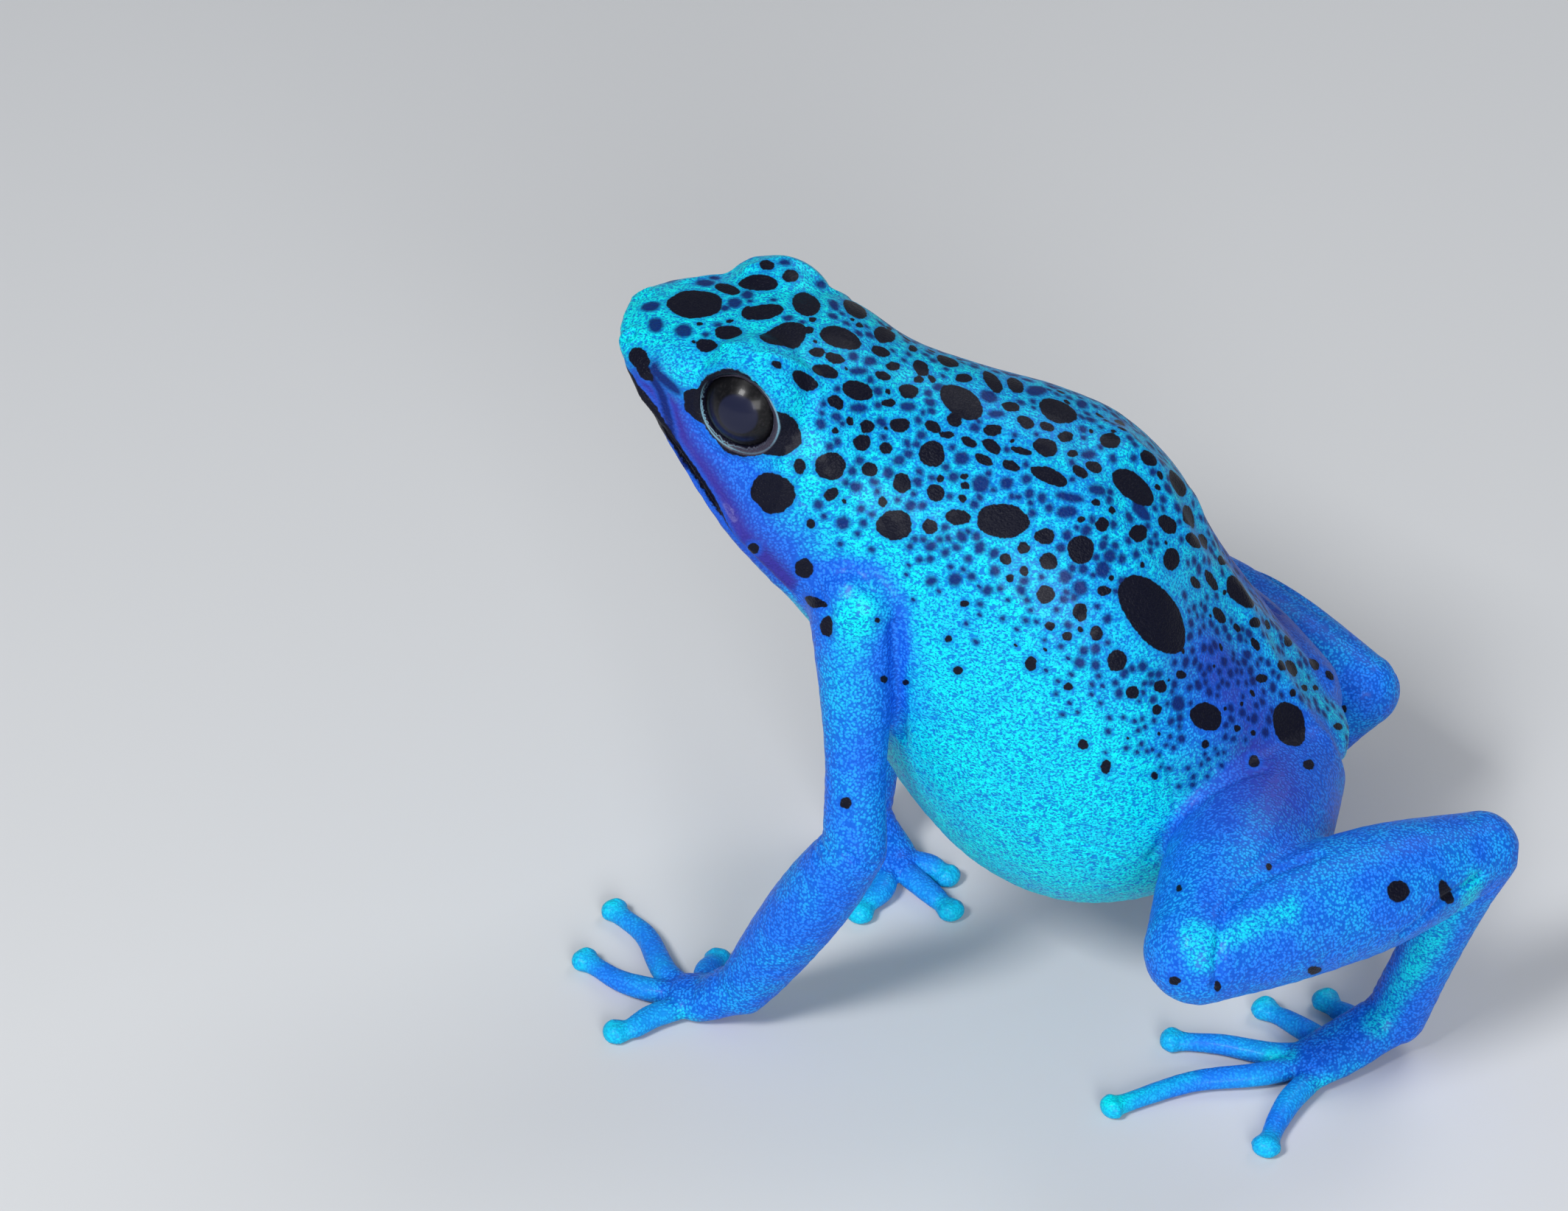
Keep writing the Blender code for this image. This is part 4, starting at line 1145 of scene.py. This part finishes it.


# Material: thin moist skin over small round granules. Each granule's top is painted paler than the
# skin round it as a painted glint, with painted shade in the gaps; on the back the pale ones run
# together into a net that is partly the skin's own pattern. It has a soft sheen with a wet coat.
GRANULE_PITCH = 0.15
GRANULE_EDGE = (0.68, 0.24)
GRANULE_RISE = 0.03
GRANULE_STRENGTH = 0.8
DRIFT_PITCH = 0.40
DRIFT = 0.16
STREAK_PITCH = 0.20
STREAK_STRETCH = (1.0, 0.6, 1.25)
STREAK_WIDTH = 0.085
STREAK_GRANULES = 0.7
PATCH_PITCH = 2.2
PATCHES = (0.3, 0.7)
PATCH_TINT = 0.14
PLAIN_PALENESS = 0.75
PURPLE_SHARE = 0.85
ROUGH_EDGE_PITCH = 0.22
ROUGH_EDGE = 0.16
HALO_EDGE = (-0.34, -0.03)
HALO_SHARE = 0.65
SOFT_EDGE = (-0.18, 0.08)
SOFT_SHARE = 0.95
CRISP_EDGE = (-0.03, 0.03)
BAND_SHARE = 0.9
SILVER_EDGE = (0.060, 0.01)
SILVER_STRENGTH = 0.80
ROUGH_PATCHES = (0.2, 0.8)
SKIN_ROUGHNESS = (0.36, 0.50)
SKY_LIGHT = (0.001, 0.90, 0.84, 1)
SKY_DARK = (0.001, 0.20, 0.54, 1)
AZURE_LIGHT = (0.018, 0.215, 0.92, 1)
AZURE_DARK = (0.004, 0.090, 0.55, 1)
PURPLE = (0.030, 0.026, 0.26, 1)
NAVY = (0.002, 0.012, 0.12, 1)
SPOT_BLACK = (0.0035, 0.004, 0.012, 1)
LID_GREY = (0.050, 0.045, 0.070, 1)
LID_SILVER = (0.16, 0.34, 0.44, 1)


def feed(tree, socket, source):
    """Give a socket a value, or the output of another node."""
    if isinstance(source, bpy.types.NodeSocket):
        tree.links.new(source, socket)
    else:
        socket.default_value = source


def mixed(tree, factor, first, second):
    """One colour turning into another as the factor goes from 0 to 1."""
    node = tree.nodes.new("ShaderNodeMix")
    node.data_type = "RGBA"
    for index, source in ((0, factor), (6, first), (7, second)):
        feed(tree, node.inputs[index], source)
    return node.outputs[2]


def ramp(tree, value, low, high, start=0.0, end=1.0):
    """A value that goes softly from start to end as another goes from low to high."""
    node = tree.nodes.new("ShaderNodeMapRange")
    node.interpolation_type = "SMOOTHSTEP"
    feed(tree, node.inputs["Value"], value)
    node.inputs["From Min"].default_value = low
    node.inputs["From Max"].default_value = high
    node.inputs["To Min"].default_value = start
    node.inputs["To Max"].default_value = end
    return node.outputs["Result"]


def worked(tree, operation, first, second):
    """The result of one step of arithmetic."""
    node = tree.nodes.new("ShaderNodeMath")
    node.operation = operation
    feed(tree, node.inputs[0], first)
    feed(tree, node.inputs[1], second)
    return node.outputs[0]


def noise_texture(tree, vector, pitch, detail):
    """Soft noise whose lumps are a given pitch apart."""
    node = tree.nodes.new("ShaderNodeTexNoise")
    tree.links.new(vector, node.inputs["Vector"])
    node.inputs["Scale"].default_value = 1 / pitch
    node.inputs["Detail"].default_value = detail
    return node


def make_granules():
    """A group that gives the height of the granules, and how pale the skin is at each point: the
    tops as a painted glint and the gaps as painted shade.

    Streaks turns the round granules of the limbs into the short wavy ridges of the body.
    """
    tree = bpy.data.node_groups.new("granules", "ShaderNodeTree")
    for name in ("Pitch", "Streaks"):
        tree.interface.new_socket(name, in_out="INPUT", socket_type="NodeSocketFloat")
    for name in ("Height", "Glint and paleness"):
        tree.interface.new_socket(name, in_out="OUTPUT", socket_type="NodeSocketFloat")
    given = tree.nodes.new("NodeGroupInput")
    result = tree.nodes.new("NodeGroupOutput")
    place = tree.nodes.new("ShaderNodeTexCoord")
    in_mm = tree.nodes.new("ShaderNodeVectorMath")
    in_mm.operation = "SCALE"
    in_mm.inputs["Scale"].default_value = 1 / MM
    tree.links.new(place.outputs["Object"], in_mm.inputs[0])
    drift = noise_texture(tree, in_mm.outputs[0], DRIFT_PITCH, 1.0)
    shifted = tree.nodes.new("ShaderNodeVectorMath")
    shifted.operation = "MULTIPLY_ADD"
    tree.links.new(drift.outputs["Color"], shifted.inputs[0])
    shifted.inputs[1].default_value = (DRIFT, DRIFT, DRIFT)
    tree.links.new(in_mm.outputs[0], shifted.inputs[2])
    cells = tree.nodes.new("ShaderNodeTexVoronoi")
    cells.feature = "F1"
    tree.links.new(shifted.outputs[0], cells.inputs["Vector"])
    feed(tree, cells.inputs["Scale"], worked(tree, "DIVIDE", 1.0, given.outputs["Pitch"]))
    dome = ramp(tree, cells.outputs["Distance"], *GRANULE_EDGE)
    stretched = tree.nodes.new("ShaderNodeVectorMath")
    stretched.operation = "MULTIPLY"
    tree.links.new(shifted.outputs[0], stretched.inputs[0])
    stretched.inputs[1].default_value = STREAK_STRETCH
    strand = noise_texture(tree, stretched.outputs[0], STREAK_PITCH, 1.0)
    ridge = worked(tree, "ABSOLUTE", worked(tree, "SUBTRACT", strand.outputs["Fac"], 0.5), 0.0)
    low_dome = worked(tree, "MULTIPLY", dome, STREAK_GRANULES)
    streak_height = worked(tree, "MAXIMUM", ramp(tree, ridge, STREAK_WIDTH, 0.0), low_dome)
    height = tree.nodes.new("ShaderNodeMix")
    for index, source in ((0, given.outputs["Streaks"]), (2, dome), (3, streak_height)):
        feed(tree, height.inputs[index], source)
    tree.links.new(height.outputs[0], result.inputs["Height"])
    tree.links.new(height.outputs[0], result.inputs["Glint and paleness"])
    return tree


granules = make_granules()
frog_skin = bpy.data.materials.new("frog_skin")
frog_skin.use_nodes = True
tree = frog_skin.node_tree
shader = tree.nodes["Principled BSDF"]


def field_value(tree, name):
    """A value that the skin's vertices carry."""
    node = tree.nodes.new("ShaderNodeAttribute")
    node.attribute_name = name
    return node.outputs["Fac"]


grain = tree.nodes.new("ShaderNodeGroup")
grain.node_tree = granules
grain.inputs["Pitch"].default_value = GRANULE_PITCH
feed(tree, grain.inputs["Streaks"], field_value(tree, "sky"))
place = tree.nodes.new("ShaderNodeTexCoord")
uneven = noise_texture(tree, place.outputs["Object"], PATCH_PITCH * MM, 3.0).outputs["Fac"]
edge_noise = noise_texture(tree, place.outputs["Object"], ROUGH_EDGE_PITCH * MM, 2.0)

patches = ramp(tree, uneven, *PATCHES, -PATCH_TINT, PATCH_TINT)
sky_amount = worked(tree, "ADD", field_value(tree, "sky"), patches)
# Light colours on the granule tops are a painted glint, and dark ones in the gaps are painted
# shade; on the back the net is partly the skin's own pattern.
light = mixed(tree, sky_amount, AZURE_LIGHT, SKY_LIGHT)
dark = mixed(tree, sky_amount, AZURE_DARK, SKY_DARK)
glint_and_paleness = grain.outputs["Glint and paleness"]
to_plain = worked(tree, "SUBTRACT", PLAIN_PALENESS, glint_and_paleness)
evened = worked(tree, "MULTIPLY", to_plain, field_value(tree, "plain"))
colour = mixed(tree, worked(tree, "ADD", glint_and_paleness, evened), dark, light)
purple_amount = worked(tree, "MULTIPLY", field_value(tree, "purple"), PURPLE_SHARE)
colour = mixed(tree, purple_amount, colour, PURPLE)

swing = worked(tree, "SUBTRACT", edge_noise.outputs["Fac"], 0.5)
wobble = worked(tree, "MULTIPLY", swing, ROUGH_EDGE)
crisp_value = worked(tree, "ADD", field_value(tree, "crisp"), wobble)
soft_value = worked(tree, "ADD", field_value(tree, "soft"), wobble)
near_spot = worked(tree, "MAXIMUM", crisp_value, soft_value)
halo = worked(tree, "MULTIPLY", ramp(tree, near_spot, *HALO_EDGE), HALO_SHARE)
colour = mixed(tree, halo, colour, dark)
on_soft = worked(tree, "MULTIPLY", ramp(tree, soft_value, *SOFT_EDGE), SOFT_SHARE)
colour = mixed(tree, on_soft, colour, NAVY)
colour = mixed(tree, ramp(tree, crisp_value, *CRISP_EDGE), colour, SPOT_BLACK)
on_band = ramp(tree, field_value(tree, "lid_band"), *CRISP_EDGE, 0.0, BAND_SHARE)
colour = mixed(tree, on_band, colour, LID_GREY)
off_line = worked(tree, "ABSOLUTE", field_value(tree, "lid_line"), 0.0)
silver = ramp(tree, off_line, *SILVER_EDGE, 0.0, SILVER_STRENGTH)
on_line = worked(tree, "MULTIPLY", silver, field_value(tree, "lid_share"))
colour = mixed(tree, on_line, colour, LID_SILVER)
tree.links.new(colour, shader.inputs["Base Color"])

bump = tree.nodes.new("ShaderNodeBump")
bump.inputs["Distance"].default_value = GRANULE_RISE * MM
bump.inputs["Strength"].default_value = GRANULE_STRENGTH
tree.links.new(grain.outputs["Height"], bump.inputs["Height"])
tree.links.new(bump.outputs["Normal"], shader.inputs["Normal"])
roughness = ramp(tree, uneven, *ROUGH_PATCHES, *SKIN_ROUGHNESS)
tree.links.new(roughness, shader.inputs["Roughness"])
shader.inputs["Specular IOR Level"].default_value = 0.10
shader.inputs["Coat Weight"].default_value = 0.05
shader.inputs["Coat Roughness"].default_value = 0.18
hide.materials.clear()
hide.materials.append(frog_skin)

hide.transform(Matrix.Scale(MM, 4) @ Matrix.Translation(Vector(-SHIFT)))
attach(skin, "root")
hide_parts(*[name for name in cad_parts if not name.startswith("eye")])

# Eyes: each is a dark, wet ball whose front bulges a little, with a near-black iris and a round
# pupil with a faint navy sheen. It is fixed, and lies in the skin's socket inside the lids.
EYE_GAP = 0.02
CORNEA_RISE = 0.05
CORNEA_EDGE = (40.0, 20.0)
GAZE = np.array((0.95, -0.22, 0.17))
PUPIL_EDGE = (26.0, 22.0)
IRIS_EDGE = (40.0, 46.0)
FLECK_PITCH = 0.16
FLECKS = (0.45, 0.75)
PUPIL_NAVY = (0.010, 0.012, 0.032, 1)
IRIS_BLACK = (0.003, 0.003, 0.004, 1)
IRIS_FLECK = (0.012, 0.011, 0.013, 1)
EYE_DETAIL = 7

eye_glass = bpy.data.materials.new("eye_glass")
eye_glass.use_nodes = True
tree = eye_glass.node_tree
shader = tree.nodes["Principled BSDF"]
place = tree.nodes.new("ShaderNodeTexCoord")
away = field_value(tree, "away")
flecks = noise_texture(tree, place.outputs["Object"], FLECK_PITCH * MM, 4.0).outputs["Fac"]
iris = mixed(tree, ramp(tree, flecks, *FLECKS), IRIS_BLACK, IRIS_FLECK)
iris = mixed(tree, ramp(tree, away, *PUPIL_EDGE), iris, PUPIL_NAVY)
iris = mixed(tree, ramp(tree, away, *IRIS_EDGE), iris, IRIS_BLACK)
tree.links.new(iris, shader.inputs["Base Color"])
shader.inputs["Roughness"].default_value = 0.30
shader.inputs["Specular IOR Level"].default_value = 0.15
shader.inputs["Coat Weight"].default_value = 0.10
shader.inputs["Coat Roughness"].default_value = 0.10

for side, mirror in MIRROR.items():
    axis = GAZE * mirror / np.linalg.norm(GAZE)
    form = bmesh.new()
    bmesh.ops.create_icosphere(form, subdivisions=EYE_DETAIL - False, radius=1.0)
    ball_mesh = bpy.data.meshes.new(f"eyeball_{side}")
    form.to_mesh(ball_mesh)
    form.free()
    points = np.array([vertex.co for vertex in ball_mesh.vertices])
    angles = np.degrees(np.arccos(np.clip(points @ axis, -1, 1)))
    reach = EYE_RADIUS - EYE_GAP + CORNEA_RISE * smoothstep(*CORNEA_EDGE, angles)
    points *= (reach * MM)[:, None]
    ball_mesh.vertices.foreach_set("co", points.astype(np.float32).ravel())
    turned_away = ball_mesh.attributes.new("away", "FLOAT", "POINT")
    turned_away.data.foreach_set("value", angles.astype(np.float32))
    ball_mesh.shade_smooth()
    ball_mesh.materials.append(eye_glass)
    ball = bpy.data.objects.new(f"eyeball_{side}", ball_mesh)
    ball.location = (EYE_CENTRE * mirror - SHIFT) * MM
    bpy.context.scene.collection.objects.link(ball)
    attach(ball, "root")
    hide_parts(f"eye_{side}")

# The floor is one plain pale sheet of paper. Soft studio light falls on it from the frog's front,
# from beside the camera and from behind, and each light is a place, a size and a power.
FLOOR_SIZE = 3.0
FLOOR_GREY = (0.62, 0.63, 0.64, 1)
FLOOR_ROUGHNESS = 0.8
LIGHTS = {
    "key": ((0.24, -0.16, 0.32), 0.10, 1.19),
    "flash": ((0.36, 0.10, 0.16), 0.16, 0.91),
    "back": ((-0.22, 0.16, 0.34), 0.20, 0.45),
}
ROOM_TINT = (0.85, 0.9, 1.0, 1)
ROOM_LIGHT = 0.22

floor_mesh = bpy.data.meshes.new("floor")
floor_form = bmesh.new()
bmesh.ops.create_grid(floor_form, x_segments=1, y_segments=1, size=FLOOR_SIZE)
floor_form.to_mesh(floor_mesh)
floor_form.free()
floor = bpy.data.objects.new("floor", floor_mesh)
bpy.context.scene.collection.objects.link(floor)
paper = bpy.data.materials.new("floor_paper")
paper.use_nodes = True
shader = paper.node_tree.nodes["Principled BSDF"]
shader.inputs["Base Color"].default_value = FLOOR_GREY
shader.inputs["Roughness"].default_value = FLOOR_ROUGHNESS
floor_mesh.materials.append(paper)
floor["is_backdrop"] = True

for name, (place, size, power) in LIGHTS.items():
    lamp = bpy.data.lights.new(name, "AREA")
    lamp.size = size
    lamp.energy = power
    light = bpy.data.objects.new(name, lamp)
    bpy.context.scene.collection.objects.link(light)
    light.location = place
    light.rotation_mode = "QUATERNION"
    light.rotation_quaternion = Vector(place).to_track_quat("Z", "Y")

world = bpy.data.worlds.new("studio")
world.use_nodes = True
world.node_tree.nodes["Background"].inputs["Color"].default_value = ROOM_TINT
world.node_tree.nodes["Background"].inputs["Strength"].default_value = ROOM_LIGHT
bpy.context.scene.world = world
bpy.context.scene.view_settings.view_transform = "Standard"

seen_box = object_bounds()
boxes = {"cad": cad_box, "visual": seen_box}
rows = {name: [list(map(float, corner)) for corner in box] for name, box in boxes.items()}
